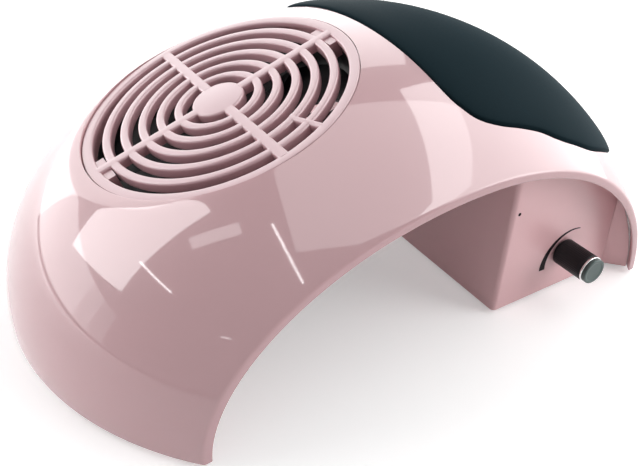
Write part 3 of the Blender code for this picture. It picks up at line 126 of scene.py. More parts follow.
# Grille and fan
GRILLE_X = -43.4 * MM
GRILLE_Z = 88.602864 * MM
GRILLE_TILT = radians(18.996376)
GRILLE_RADIUS = 60.0 * MM
GRILLE_THICKNESS = 2.4 * MM
GRILLE_ROUND = 0.4 * MM
RIB_CROWN = 1.1 * MM
CROWN_STEPS = 4
RIB_DEPTH = 4.2 * MM
BAR_RISE = 0.04 * MM
BAR_END_INSET = 3.6 * MM
GRILLE_DISC_RADIUS = 11.3 * MM
SLOT_WIDTH = 4.2 * MM
SLOT_PITCH = 8.0 * MM
SLOT_COUNT = 6
SPOKE_WIDTH = 4.8 * MM
BRIDGE_WIDTH = 2.8 * MM
BRIDGE_ANGLE = radians(-70.5)
BRIDGED_SLOTS = 2
LUG_LENGTH = 16.0 * MM
LUG_WIDTH = 4.4 * MM
LUG_DEPTH = 6.0 * MM
DUCT_RADIUS = 57.0 * MM
DUCT_WALL = 2.0 * MM
SEAT_WIDTH = 7.0 * MM
SEAT_HEIGHT = 5.0 * MM
FAN_DEPTH = 28.0 * MM
FLANGE_THICKNESS = 2.4 * MM
FAN_SCREW_CIRCLE = 67.0 * MM
FAN_COLUMN_RADIUS = 4.2 * MM
FAN_SCREW_SLACK = 0.05 * MM
SCREW_RADIUS = 1.5 * MM
SCREW_BITE = 4.0 * MM
STRUT_WIDTH = 4.0 * MM
STRUT_HEIGHT = 3.0 * MM
CASING_EDGE = 0.3 * MM
MOTOR_PLATE_RADIUS = 21.0 * MM
BEARING_TUBE_BORE = 3.32 * MM
BEARING_TUBE_WALL = 1.8 * MM
BEARING_TUBE_HEIGHT = 15.5 * MM
HUB_RADIUS = 22.0 * MM
HUB_WALL = 2.0 * MM
HUB_HEIGHT = 18.5 * MM
HUB_DROP = 3.0 * MM
HUB_ROUND = 1.2 * MM
SHAFT_RADIUS = 1.8 * MM
SHAFT_BOSS_RADIUS = 4.2 * MM
SHAFT_BOSS_HEIGHT = 2.6 * MM
TIP_CLEARANCE = 2.0 * MM
BLADE_COUNT = 7
BLADE_THICKNESS = 1.6 * MM
BLADE_SPAN_ANGLE = radians(67.0)
BLADE_CAMBER = 2.2 * MM
BLADE_BLUNTNESS = 6
BLADE_END_INSET = 1.4 * MM
GUARD_THICKNESS = 2.0 * MM
GUARD_RING_WIDTH = 1.8 * MM
GUARD_RINGS = 2
GUARD_SPOKE_WIDTH = 3.0 * MM
GUARD_COLLAR_HEIGHT = 5.0 * MM
GUARD_COLLAR_WALL = 1.6 * MM
GUARD_EDGE = 0.25 * MM

# Hand rest
PAD_START_ANGLE = radians(2.1)
PAD_END_ANGLE = radians(69.0)
PAD_HALF_WIDTH = 87.0 * MM
PAD_POCKET_DEPTH = 1.5 * MM
PAD_EDGE_PROUD = 0.6 * MM
PAD_CROWN = 2.6 * MM
PAD_LIP_ROUND = 0.7 * MM
PAD_LIP_END = radians(108.0)
PAD_LIP_STEPS = 4
PAD_LIP_SINK_SHARE = 0.92
PAD_CREASE = 0.5 * MM
PAD_OUTLINE_SHARES = (
    (0.0, 0.0), (0.0, 0.36), (0.0, 0.68), (0.014, 0.79), (0.042, 0.862), (0.1, 0.908),
    (0.17, 0.931), (0.245, 0.954), (0.31, 0.984), (0.385, 1.0), (0.52, 0.998),
    (0.7, 0.912), (0.86, 0.78), (0.965, 0.57), (1.0, 0.28), (1.0, 0.0),
)
PAD_CURVE_STEPS = 12
PAD_CENTRE_SHARE = 0.5
PAD_ROLL_SHARE = 0.14
PAD_ROLLED_CROWN_SHARE = 0.45
PAD_RINGS = 46
PAD_FLOOR_RINGS = 6
POCKET_RINGS = 8

# Control box
BOX_LEFT_X = 40.9 * MM
BOX_RIGHT_X = 110.5 * MM
BOX_HALF_DEPTH = 88.4 * MM
BOX_LEAN = radians(3.0)
BOX_WALL = 2.5 * MM
BOX_LEDGE = 2.0 * MM
BOX_ROUND = 0.8 * MM
BOX_EDGE = BOX_ROUND * 0.5
BOX_EDGE_STEPS = 3
BOX_CORNER = 2.2 * MM
BOX_CORNER_STEPS = 5
GROMMET_HOLE_RADIUS = 4.2 * MM
GROMMET_HOLE_STEPS = 40
COVER_THICKNESS = 2.4 * MM
WING_THICKNESS = 2.0 * MM
WING_REACH_X = 8.5 * MM
WING_REACH_Y = 9.2 * MM
POST_RADIUS = 4.2 * MM
POST_INSET = 8.0 * MM
COVER_SCREW_LENGTH = 10.0 * MM

# Knob and its panel
KNOB_X = 78.0 * MM
KNOB_Z = 21.5 * MM
KNOB_RADIUS = 6.2 * MM
KNOB_GAP = 1.0 * MM
KNOB_BODY_LENGTH = 15.0 * MM
KNOB_RING_HEIGHT = 1.0 * MM
KNOB_NECK_INSET = 2.2 * MM
KNOB_CAP_HEIGHT = 1.5 * MM
KNOB_CAP_INSET = 0.4 * MM
KNOB_CAP_RIM = 1.1 * MM
KNOB_CAP_DISH_INSET = 1.5 * MM
KNOB_CAP_DISH = 0.25 * MM
KNOB_CAP_ROUND = 0.35 * MM
KNOB_CAP_ROUND_STEPS = 4
KNOB_RING_SLACK = 0.12 * MM
KNOB_RING_ROUND = 0.25 * MM
KNOB_BORE = 5.6 * MM
KNOB_BORE_DEPTH = 3.0 * MM
KNOB_SHAFT_BORE = 3.3 * MM
KNOB_ROOF = 1.0 * MM
KNOB_SKIRT = 1.2 * MM
KNOB_SHOULDER = 0.9 * MM
KNOB_LOW_ROUND = 0.4 * MM
KNOB_TOP_ROUND = 0.3 * MM
KNOB_ROUND_MIDDLE = 0.1 * MM
KNOB_RIB_RUNOUT = 0.2 * MM
KNOB_RIB_INSET = 0.6 * MM
KNOB_RIBS = 40
KNOB_FACETS_PER_RIB = 8
KNOB_RIB_DEPTH = 0.12 * MM
PRINT_BACK = -0.05 * MM
PRINT_FACE = 0.06 * MM
MARK_OUTER_ARC = (16.4 * MM, radians(71.1), radians(182.0), 40, (82.3 * MM, 14.7 * MM))
MARK_INNER_ARC = (14.4 * MM, radians(188.0), radians(73.5), 34, (83.5 * MM, 15.98 * MM))
DOT_PLACE = (47.2 * MM, 50.6 * MM)
DOT_RADIUS = 0.8 * MM
DOT_ROUND = 0.03 * MM
BUSHING_RADIUS = 4.0 * MM
INLET_X = 78.0 * MM
INLET_Z = 24.0 * MM
INLET_HALF_WIDTH = 10.0 * MM
INLET_HALF_HEIGHT = 6.5 * MM

# The camera that the photograph was taken with, in the row frame
CAMERA_PLACE = (-159.2 * MM, -261.1 * MM, 217.7 * MM)
CAMERA_YAW = radians(31.04)
CAMERA_PITCH = radians(34.59)
CAMERA_LENS_MM = 42.25
SENSOR_WIDTH_MM = 36.0
CAMERA_CLIP = 10.0 * MM

# Softboxes: name, aim, azimuth, elevation and roll in degrees, distance, width and height
# in metres, and the radiance that matt and that glossy surfaces are lit with
LEFT_AIM = (-0.09, -0.06, 0.06)
RIGHT_AIM = (0.02, -0.06, 0.07)
LAMPS = (
    ("left_softbox", LEFT_AIM, -126.0, 38.0, 21.0, 1.2, 0.62, 0.88, 0.0, 3.9),
    ("left_low_softbox", LEFT_AIM, -140.0, 8.5, 0.0, 1.23, 1.12, 0.40, 0.0, 0.7),
    ("left_low_edge", LEFT_AIM, -140.0, 8.5, 0.0, 1.26, 1.56, 0.41, 0.0, 0.6),
    ("left_low_rim", LEFT_AIM, -140.0, 8.5, 0.0, 1.29, 2.08, 0.42, 0.0, 0.6),
    ("left_fill", LEFT_AIM, -128.0, 17.0, 0.0, 1.3, 1.1, 0.7, 5.0, 0.0),
    ("right_softbox", RIGHT_AIM, 75.0, 31.0, 0.0, 1.2, 1.6, 1.6, 2.0, 2.8),
    ("front_softbox", RIGHT_AIM, 45.0, 22.0, 0.0, 1.2, 0.7, 0.6, 2.2, 1.4),
    ("back_softbox", RIGHT_AIM, 178.0, 23.0, 0.0, 1.2, 1.7, 1.25, 0.9, 1.6),
    ("top_softbox", RIGHT_AIM, 70.0, 79.0, 0.0, 1.2, 1.2, 1.1, 0.2, 1.35),
    ("left_strip", LEFT_AIM, -98.0, 35.0, 0.0, 1.1, 0.32, 0.013, 0.0, 9.0),
    ("high_strip", LEFT_AIM, -45.0, 64.0, -55.0, 1.1, 0.50, 0.013, 0.0, 9.0),
    ("small_strip", LEFT_AIM, -59.0, 26.5, 0.0, 1.1, 0.07, 0.012, 0.0, 4.0),
    ("soft_strip", LEFT_AIM, -96.0, 59.0, 70.0, 1.1, 0.30, 0.09, 0.0, 2.0),
)
GLOSS_LEAD = 20.0 * MM
WORLD_FILL = 0.27
FLOOR_LIFT = 0.33
FLOOR_REACH = 3.0
FLOOR_THICKNESS = 0.02
FLOOR_FINISH = ("floor_white", (0.93, 0.93, 0.93), 0.9, 0.0, {"Specular IOR Level": 0.1})
FLOOR_NOISE_SCALE = 8.0
FLOOR_TINT = 0.004

# Materials by slot: name, colour, roughness and metallic level, then the noise's scale, tint,
# range of roughness, bump and stretch, and the other sockets of the shader
NOISE_DETAIL = 3.0
BUMP_DEPTH = 0.05 * MM
EVEN = (1.0, 1.0, 1.0)
FINISHES = {
    "shell_pink": (
        "shell_pink_gloss", (0.53, 0.30, 0.32), 0.3, 0.0, 22.0, 0.012, (0.26, 0.34), 0.0, EVEN,
        {"Coat Weight": 1.0, "Coat Roughness": 0.045, "Coat IOR": 1.75, "Specular IOR Level": 0.15}),
    # The box's pink is its own colour, made lighter than the shell's to paint in the light on its front
    # face.
    "box_pink": (
        "box_pink_satin_painted_light", (0.75, 0.455, 0.475), 0.4, 0.0, 180.0, 0.015, (0.3, 0.42), 0.05, EVEN,
        {"Coat Weight": 0.4, "Coat Roughness": 0.25}),
    "grille_pink": (
        "grille_pink_satin", (0.50, 0.30, 0.325), 0.3, 0.0, 160.0, 0.012, (0.28, 0.36), 0.03, EVEN,
        {"Coat Weight": 1.0, "Coat Roughness": 0.2}),
    "pad_black": (
        "pad_soft_black", (0.008, 0.018, 0.023), 0.6, 0.0, 900.0, 0.12, (0.46, 0.6), 0.12, EVEN,
        {"Specular IOR Level": 0.01}),
    "rubber_black": (
        "rubber_black", (0.02, 0.02, 0.02), 0.8, 0.0, 700.0, 0.2, (0.7, 0.9), 0.2, EVEN, {}),
    "fan_black": (
        "fan_black", (0.008, 0.008, 0.009), 0.5, 0.0, 400.0, 0.15, (0.34, 0.5), 0.08, EVEN,
        {"Specular IOR Level": 0.25}),
    "knob_black": (
        "knob_black", (0.006, 0.007, 0.009), 0.3, 0.0, 500.0, 0.15, (0.28, 0.4), 0.05, EVEN,
        {"Specular IOR Level": 0.25}),
    "knob_chrome": (
        "knob_chrome", (0.80, 0.81, 0.81), 0.12, 1.0, 300.0, 0.02, (0.08, 0.18), 0.0, EVEN, {}),
    "knob_cap_grey": (
        "knob_cap_grey", (0.075, 0.105, 0.10), 0.4, 0.2, 600.0, 0.1, (0.34, 0.46), 0.04, EVEN, {}),
    "steel": (
        "zinc_steel", (0.55, 0.55, 0.56), 0.3, 1.0, 900.0, 0.05, (0.24, 0.4), 0.05, EVEN, {}),
    "motor_iron": (
        "motor_iron", (0.28, 0.28, 0.30), 0.5, 0.8, 60.0, 0.1, (0.45, 0.6), 0.2,
        (1.0, 1.0, 30.0), {}),
    "board_green": (
        "board_green", (0.03, 0.17, 0.08), 0.4, 0.0, 250.0, 0.15, (0.35, 0.5), 0.1, EVEN, {}),
    "part_black": (
        "part_black", (0.03, 0.03, 0.03), 0.5, 0.0, 500.0, 0.1, (0.42, 0.56), 0.1, EVEN, {}),
    "sleeve_blue": (
        "sleeve_blue", (0.04, 0.10, 0.30), 0.35, 0.0, 300.0, 0.1, (0.3, 0.42), 0.0, EVEN, {}),
    "coil_yellow": (
        "coil_yellow", (0.60, 0.45, 0.10), 0.6, 0.0, 40.0, 0.12, (0.5, 0.7), 0.2,
        (1.0, 1.0, 25.0), {}),
    "heat_sink_aluminium": (
        "bare_aluminium", (0.70, 0.70, 0.72), 0.4, 1.0, 40.0, 0.05, (0.32, 0.5), 0.1,
        (20.0, 1.0, 20.0), {}),
    "terminal_green": (
        "terminal_green", (0.05, 0.35, 0.16), 0.5, 0.0, 400.0, 0.08, (0.42, 0.55), 0.05, EVEN, {}),
    "lead_grey": (
        "lead_grey", (0.12, 0.12, 0.13), 0.6, 0.0, 350.0, 0.1, (0.5, 0.7), 0.1, EVEN, {}),
    "print_black": (
        "print_black", (0.012, 0.008, 0.010), 0.6, 0.0, 800.0, 0.1, (0.4, 0.5), 0.0, EVEN,
        {"Specular IOR Level": 0.05}),
}

SHELL_PLACE = Matrix.Translation((
    (LEFT_REACH - RIGHT_REACH) / 2.0 - CREST_X,
    cad_bounds[1].y - SHELL_HALF_DEPTH,
    0.0,
))

GRILLE_LEDGE = -(GRILLE_THICKNESS + FIT)
SEAT_BOTTOM = GRILLE_LEDGE - SEAT_HEIGHT
FAN_TOP = SEAT_BOTTOM - FIT
FAN_BOTTOM = FAN_TOP - FAN_DEPTH
GUARD_TOP = FAN_BOTTOM - FIT
GUARD_BOTTOM = GUARD_TOP - GUARD_THICKNESS
MOTOR_PLATE_TOP = FAN_BOTTOM + STRUT_HEIGHT
COVER_TOP = FOOT_HEIGHT + COVER_THICKNESS


# Shapes

def box_shape(low, high):
    shape = bmesh.new()
    bmesh.ops.create_cube(shape, size=1.0)
    low, high = Vector(low), Vector(high)
    size = high - low
    for vertex in shape.verts:
        vertex.co = Vector(low[k] + (vertex.co[k] + 0.5) * size[k] for k in range(3))
    return shape


def prism(points, bottom, top):
    """A polygon in the XY plane, given anticlockwise, raised from bottom to top."""
    shape = bmesh.new()
    lower = [shape.verts.new((x, y, bottom)) for x, y in points]
    upper = [shape.verts.new((x, y, top)) for x, y in points]
    shape.faces.new(reversed(lower))
    shape.faces.new(upper)
    for k in range(len(points)):
        after = (k + 1) % len(points)
        shape.faces.new((lower[k], lower[after], upper[after], upper[k]))
    return shape


def arc(radius, start, end, steps, centre=(0.0, 0.0)):
    """Points along an arc about a centre, both ends included."""
    angles = [start + (end - start) * k / steps for k in range(steps + 1)]
    return [(centre[0] + radius * cos(a), centre[1] + radius * sin(a)) for a in angles]


def cylinder(radius, bottom, top, centre=(0.0, 0.0), steps=48):
    ring = arc(radius, 0.0, 2 * pi * (steps - 1) / steps, steps - 1, centre)
    return prism(ring, bottom, top)


def lathe(profile, steps=96, radius_at=None):
    """A closed profile of (radius, height) turned about the Z axis."""
    shape = bmesh.new()
    rings = []
    for radius, height in profile:
        if radius == 0.0:
            rings.append([shape.verts.new((0.0, 0.0, height))])
            continue
        ring = []
        for k in range(steps):
            angle = 2 * pi * k / steps
            r = radius_at(radius, height, angle) if radius_at else radius
            ring.append(shape.verts.new((r * cos(angle), r * sin(angle), height)))
        rings.append(ring)
    for first, second in zip(rings, rings[1:] + rings[:1]):
        if len(first) == 1 and len(second) == 1:
            continue
        for k in range(steps):
            after = (k + 1) % steps
            corners = [first[k % len(first)], first[after % len(first)],
                       second[after % len(second)], second[k % len(second)]]
            shape.faces.new(list(dict.fromkeys(corners)))
    bmesh.ops.recalc_face_normals(shape, faces=shape.faces)
    return shape


def rounded(profile, radius, steps=3):
    """A closed profile with an arc at each corner, no larger than its two sides allow."""
    points = [Vector(p) for p in profile]
    result = []
    count = len(points)
    for k, corner in enumerate(points):
        before, after = points[k - 1] - corner, points[(k + 1) % count] - corner
        if corner.x == 0.0:
            result.append(tuple(corner))
            continue
        size = min(radius, before.length * 0.45, after.length * 0.45)
        start, end = corner + before.normalized() * size, corner + after.normalized() * size
        for step in range(steps + 1):
            t = step / steps
            point = start * (1 - t) ** 2 + corner * 2 * t * (1 - t) + end * t * t
            result.append(tuple(point))
    return result


def tube(inner, outer, bottom, top, steps=96):
    return lathe([(inner, bottom), (outer, bottom), (outer, top), (inner, top)], steps)


def moved(shape, matrix):
    bmesh.ops.transform(shape, matrix=matrix, verts=shape.verts)
    return shape


def joined(shapes):
    total = bmesh.new()
    for shape in shapes:
        mesh = bpy.data.meshes.new("part")
        shape.to_mesh(mesh)
        shape.free()
        total.from_mesh(mesh)
        bpy.data.meshes.remove(mesh)
    return total


# Objects

def new_object(name, shape):
    mesh = bpy.data.meshes.new(name)
    shape.to_mesh(mesh)
    shape.free()
    item = bpy.data.objects.new(name, mesh)
    bpy.context.scene.collection.objects.link(item)
    return item


def bake(item):
    """Apply an object's modifiers to its mesh."""
    graph = bpy.context.evaluated_depsgraph_get()
    mesh = bpy.data.meshes.new_from_object(item.evaluated_get(graph))
    item.modifiers.clear()
    item.data = mesh


def combine(item, operation, shape, limit=None):
    """Cut or join a shape into an object, after trimming the shape to a limit."""
    tool = new_object("tool", shape)
    if limit:
        combine(tool, "INTERSECT", limit)
    step = item.modifiers.new(operation, "BOOLEAN")
    step.operation = operation
    step.solver = "EXACT"
    step.object = tool
    bake(item)
    bpy.data.objects.remove(tool)


def soften(item, width, steps=2, angle=EDGE_ANGLE):
    """Round the edges that are sharper than an angle."""
    item.data.shade_smooth()
    step = item.modifiers.new("edges", "BEVEL")
    step.width = width
    step.segments = steps
    step.limit_method = "ANGLE"
    step.angle_limit = angle
    step.use_clamp_overlap = False
    step.harden_normals = True
    bake(item)


def settle(item, body, node, material, smooth=SMOOTH_ANGLE):
    """Shade an object, put it in the row frame and let it stand for a CAD node."""
    if smooth:
        item.data.shade_smooth()
        item.data.set_sharp_from_angle(angle=smooth)
    item.data.materials.clear()
    item.data.materials.append(material)
    item.data.transform(SHELL_PLACE)
    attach(item, body)
    if node:
        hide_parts(node)
    return item


# Dome

def depth_scale(y, inset):
    return sqrt(1.0 - (y / (DEPTH_REACH - inset)) ** 2)


def dome_point(angle, y, inset):
    """A point of the dome, drawn in by inset; angle runs from the left foot over the crest."""
    scale = depth_scale(y, inset)
    reach = (LEFT_REACH if cos(angle) > 0.0 else RIGHT_REACH) - inset
    x = CREST_X - reach * scale ** PLAN_FULLNESS * cos(angle)
    return Vector((x, y, (CREST_HEIGHT - inset) * scale * sin(angle)))


def rim_angle(y, inset, rise=0.0):
    return asin((FOOT_HEIGHT + rise) / ((CREST_HEIGHT - inset) * depth_scale(y, inset)))


def flattened(point, inset):
    """Cut the dome down to the grille's plane, with a fillet where the two meet."""
    normal = Vector((-sin(GRILLE_TILT), 0.0, cos(GRILLE_TILT)))
    height = (point - Vector((GRILLE_X, 0.0, GRILLE_Z))).dot(normal) + inset - SEAM_STEP
    if height <= -FLAT_BLEND:
        return point
    cut = 0.0 if height > FLAT_BLEND else -(height - FLAT_BLEND) ** 2 / (4.0 * FLAT_BLEND)
    return point + normal * (cut - height)


def dome_row(y, edge, inset, steps):
    start = rim_angle(y, inset, edge)
    angles = [start + (pi - 2.0 * start) * k / steps for k in range(steps + 1)]
    return [flattened(dome_point(a, y, inset), inset) for a in angles]


def dome_rows(edge, inset, across=ARCH_STEPS, deep=DEPTH_STEPS):
    """Rows of points over the dome from front to back, edge away from its rims."""
    half = SHELL_HALF_DEPTH - edge
    return [dome_row(half * (2.0 * j / deep - 1.0), edge, inset, across) for j in range(deep + 1)]


def dome_border(edge, inset):
    """The points round the edge of dome_rows, in one loop."""
    half = SHELL_HALF_DEPTH - edge
    depths = [half * (2.0 * j / DEPTH_STEPS - 1.0) for j in range(1, DEPTH_STEPS)]
    front = dome_row(-half, edge, inset, ARCH_STEPS)
    back = dome_row(half, edge, inset, ARCH_STEPS)
    sides = []
    for y in depths:
        start = rim_angle(y, inset, edge)
        sides.append([flattened(dome_point(a, y, inset), inset) for a in (start, pi - start)])
    return front + [s[1] for s in sides] + back[::-1] + [s[0] for s in reversed(sides)]


def dome_shell_shape():
    """The dome's wall as one closed surface, with rounded rims."""
    shape = bmesh.new()
    r = RIM_ROUND
    turns = [radians(90.0) * k / RIM_ROUND_STEPS for k in range(1, RIM_ROUND_STEPS + 1)]
    outer_turn = [(r - r * sin(t), r - r * cos(t)) for t in turns]
    inner_turn = [(edge, SHELL_WALL - inset) for edge, inset in reversed(outer_turn)]
    skins = []
    for inset in (0.0, SHELL_WALL):
        rows = [[shape.verts.new(p) for p in row] for row in dome_rows(r, inset)]
        for near, far in zip(rows, rows[1:]):
            for k in range(ARCH_STEPS):
                shape.faces.new((near[k], near[k + 1], far[k + 1], far[k]))
        right = [row[-1] for row in rows[1:-1]]
        left = [row[0] for row in rows[1:-1]]
        skins.append(rows[0] + right + rows[-1][::-1] + left[::-1])
    loops = [skins[0]]
    loops += [[shape.verts.new(p) for p in dome_border(edge, inset)] for edge, inset in outer_turn]
    loops += [[shape.verts.new(p) for p in dome_border(edge, inset)] for edge, inset in inner_turn]
    loops.append(skins[1])
    for first, second in zip(loops, loops[1:]):
        for k in range(len(first)):
            after = (k + 1) % len(first)
            shape.faces.new((first[k], first[after], second[after], second[k]))
    bmesh.ops.recalc_face_normals(shape, faces=shape.faces)
    return shape


def dome_volume(inset, across, deep):
    """The whole space under the dome drawn in by inset, down to below the table."""
    shape = bmesh.new()
    rows = []
    for row in dome_rows(0.0, inset, across, deep):
        left, right = row[0].copy(), row[-1].copy()
        left.z = right.z = -OVERRUN
        rows.append([shape.verts.new(p) for p in [left, *row, right]])
    for near, far in zip(rows, rows[1:]):
        for k in range(len(near)):
            after = (k + 1) % len(near)
            shape.faces.new((near[k], near[after], far[after], far[k]))
    shape.faces.new(rows[0])
    shape.faces.new(rows[-1])
    bmesh.ops.recalc_face_normals(shape, faces=shape.faces)
    return shape


def grille_matrix():
    """From the grille's own frame, with its outer face at height 0, to the shell's frame."""
    turn = Matrix.Rotation(-GRILLE_TILT, 4, "Y")
    return Matrix.Translation((GRILLE_X, 0.0, GRILLE_Z)) @ turn


def fan_screw_spots():
    angles = [radians(45.0 + 90.0 * k) for k in range(4)]
    return [(FAN_SCREW_CIRCLE * cos(a), FAN_SCREW_CIRCLE * sin(a)) for a in angles]


def post_spots():
    left = BOX_LEFT_X + BOX_WALL + BOX_LEDGE + POST_INSET
    right = BOX_RIGHT_X - BOX_WALL - BOX_LEDGE - POST_INSET
    end = BOX_HALF_DEPTH - BOX_WALL - BOX_LEDGE - POST_INSET
    return [(left, -end), (right, -end), (right, end), (left, end)]


def rim_foot_spots():
    y = SHELL_HALF_DEPTH - FOOT_END_INSET
    on_rim = dome_point(rim_angle(y, 0.0), y, 0.0)
    normal = Vector(((CREST_X - on_rim.x) / LEFT_REACH ** 2, -y / DEPTH_REACH ** 2)).normalized()
    distance = SHELL_WALL + FOOT_RADIUS + FIT
    return [(on_rim.x + normal.x * distance, side * (y + normal.y * distance)) for side in (-1.0, 1.0)]


def keep_skin_normals(item, tree, source):
    """Give the faces left of the first skin its smooth normals, so that cuts don't dent the gloss."""
    mesh = item.data
    mesh.shade_smooth()
    mesh.set_sharp_from_angle(angle=SHELL_SMOOTH_ANGLE)
    normals = [c.vector.copy() for c in mesh.corner_normals]
    for face in mesh.polygons:
        spot, normal, index, distance = tree.find_nearest(face.center)
        if distance > SKIN_TOLERANCE or normal.dot(face.normal) < SKIN_ALIGNMENT:
            continue
        for loop in face.loop_indices:
            co = mesh.vertices[mesh.loops[loop].vertex_index].co
            near, normal, index, distance = tree.find_nearest(co)
            corners = source[index]
            weights = poly_3d_calc([corner for corner, corner_normal in corners], near)
            blend = Vector((0.0, 0.0, 0.0))
            for (corner, corner_normal), weight in zip(corners, weights):
                blend += corner_normal * weight
            if blend.dot(face.normal) > NORMAL_AGREEMENT:
                normals[loop] = blend.normalized()
    mesh.normals_split_custom_set(normals)


def build_shell(material):
    shape = dome_shell_shape()
    shape.normal_update()
    tree = BVHTree.FromBMesh(shape)
    source = [[(v.co.copy(), v.normal.copy()) for v in f.verts] for f in shape.faces]
    shell = new_object("shell_skin", shape)
    to_fan = grille_matrix()
    bosses = []
    for spot in post_spots():
        bosses.append(cylinder(POST_RADIUS, COVER_TOP + FIT, CREST_HEIGHT, spot, SMALL_STEPS))
    for spot in rim_foot_spots():
        boss_radius = FOOT_RADIUS + FIT + FOOT_BOSS_WALL
        bosses.append(cylinder(boss_radius, FOOT_HEIGHT, FOOT_BOSS_HEIGHT, spot))
    for spot in fan_screw_spots():
        column = cylinder(FAN_COLUMN_RADIUS, SEAT_BOTTOM + FIT, OVERRUN, spot, SMALL_STEPS)
        bosses.append(moved(column, to_fan))
    limit = dome_volume(SHELL_WALL * BOSS_LIMIT_SHARE, VOLUME_ARCH_STEPS, BOSS_DEPTH_STEPS)
    combine(shell, "UNION", joined(bosses), limit)
    seat = cylinder(DUCT_RADIUS + SEAT_WIDTH, SEAT_BOTTOM, GRILLE_LEDGE + FIT, steps=SEAT_STEPS)
    combine(shell, "UNION", moved(seat, to_fan))
    wall = GRILLE_RADIUS + FIT
    centre = (wall + SEAM_ROUND, SEAM_STEP - SEAM_ROUND * SEAM_SINK_SHARE)
    turn = arc(SEAM_ROUND, pi, SEAM_ROUND_END, SEAM_ROUND_STEPS, centre)
    profile = [(0.0, GRILLE_LEDGE), (wall, GRILLE_LEDGE), *turn, (turn[-1][0], OVERRUN), (0.0, OVERRUN)]
    combine(shell, "DIFFERENCE", moved(lathe(profile, GRILLE_STEPS), to_fan))
    bore = cylinder(DUCT_RADIUS, -OVERRUN, OVERRUN, steps=SEAT_STEPS)
    combine(shell, "DIFFERENCE", moved(bore, to_fan))
    combine(shell, "DIFFERENCE", pocket_shape())
    holes = []
    for spot in post_spots():
        top = COVER_TOP + COVER_SCREW_LENGTH
        holes.append(cylinder(SCREW_RADIUS + FIT, -OVERRUN, top, spot, TINY_STEPS))
    for spot in fan_screw_spots():
        top = SEAT_BOTTOM + SCREW_BITE + FAN_SCREW_SLACK
        hole = cylinder(SCREW_RADIUS + FAN_SCREW_SLACK, SEAT_BOTTOM - OVERRUN, top, spot, TINY_STEPS)
        holes.append(moved(hole, to_fan))
    for spot in rim_foot_spots():
        holes.append(cylinder(FOOT_RADIUS + FIT, -OVERRUN, FOOT_HEIGHT + FOOT_SOCKET_DEPTH, spot))
    combine(shell, "DIFFERENCE", joined(holes))
    keep_skin_normals(shell, tree, source)
    return settle(shell, "body", "outer_shell", material, None)


# Hand rest

def smooth_closed(points, steps):
    """A closed Catmull-Rom curve through points, with that many steps in each stretch."""
    curve = []
    count = len(points)
    for k in range(count):
        before, start, end, after = (points[(k + shift) % count] for shift in (-1, 0, 1, 2))
        for step in range(steps):
            t = step / steps
            curve.append(tuple(
                0.5 * (2.0 * b + (c - a) * t + (2.0 * a - 5.0 * b + 4.0 * c - d) * t * t
                       + (3.0 * b - a - 3.0 * c + d) * t ** 3)
                for a, b, c, d in zip(before, start, end, after)))
    return curve


def pad_outline():
    """The pad's outline as shares of its angle and of its half width."""
    half = list(PAD_OUTLINE_SHARES)
    mirrored = [(a, -w) for a, w in reversed(half[1:-1])]
    return smooth_closed(half + mirrored, PAD_CURVE_STEPS)


def pad_point(angle_share, width_share, height):
    angle = PAD_START_ANGLE + (PAD_END_ANGLE - PAD_START_ANGLE) * angle_share
    return dome_point(pi / 2.0 + angle, width_share * PAD_HALF_WIDTH, -height)


def pad_ring(outline, share, height, margin):
    """The outline shrunk to a share and widened by a margin, at a height above the dome."""
    grow_angle = margin / (RIGHT_REACH * (PAD_END_ANGLE - PAD_START_ANGLE))
    grow_width = margin / PAD_HALF_WIDTH
    points = []
    for a, w in outline:
        out_a = a - PAD_CENTRE_SHARE
        size = hypot(out_a, w)
        grown_a = PAD_CENTRE_SHARE + out_a * share + grow_angle * out_a / size
        points.append(pad_point(grown_a, w * share + grow_width * w / size, height))
    return points


def ring_stack(rings, bottom, top):
    """A closed solid through rings of points, from a bottom point to a top point."""
    shape = bmesh.new()
    made = [[shape.verts.new(p) for p in ring] for ring in rings]
    count = len(made[0])
    for first, second in zip(made, made[1:]):
        for k in range(count):
            after = (k + 1) % count
            shape.faces.new((first[k], first[after], second[after], second[k]))
    for ring, tip in ((made[0], bottom), (made[-1], top)):
        centre = shape.verts.new(tip)
        for k in range(count):
            shape.faces.new((ring[k], ring[(k + 1) % count], centre))
    bmesh.ops.recalc_face_normals(shape, faces=shape.faces)
    return shape


def pocket_shape():
    """The pad's pocket with a small round where it meets the dome's surface."""
    outline = pad_outline()
    floor = -PAD_POCKET_DEPTH
    shares = [k / POCKET_RINGS for k in range(1, POCKET_RINGS + 1)]
    rings = [pad_ring(outline, share, floor, FIT) for share in shares]
    r = PAD_LIP_ROUND
    for x, z in arc(r, pi, PAD_LIP_END, PAD_LIP_STEPS, (r, -r * PAD_LIP_SINK_SHARE)):
        rings.append(pad_ring(outline, 1.0, z, FIT + x))
        widest = FIT + x
    rings += [pad_ring(outline, share, OVERRUN, widest) for share in reversed(shares)]
    return ring_stack(rings, pad_point(PAD_CENTRE_SHARE, 0.0, floor),
                      pad_point(PAD_CENTRE_SHARE, 0.0, OVERRUN))


def pad_height(share):
    """The pad's height above the dome at a share of the way out from its middle."""
    roll = min((1.0 - share) / PAD_ROLL_SHARE, 1.0)
    crown = sqrt(max(1.0 - (1.0 - roll) ** 2, 0.0))
    swell = 1.0 - share * share
    return PAD_EDGE_PROUD + PAD_CROWN * (swell + (crown - swell) * PAD_ROLLED_CROWN_SHARE)


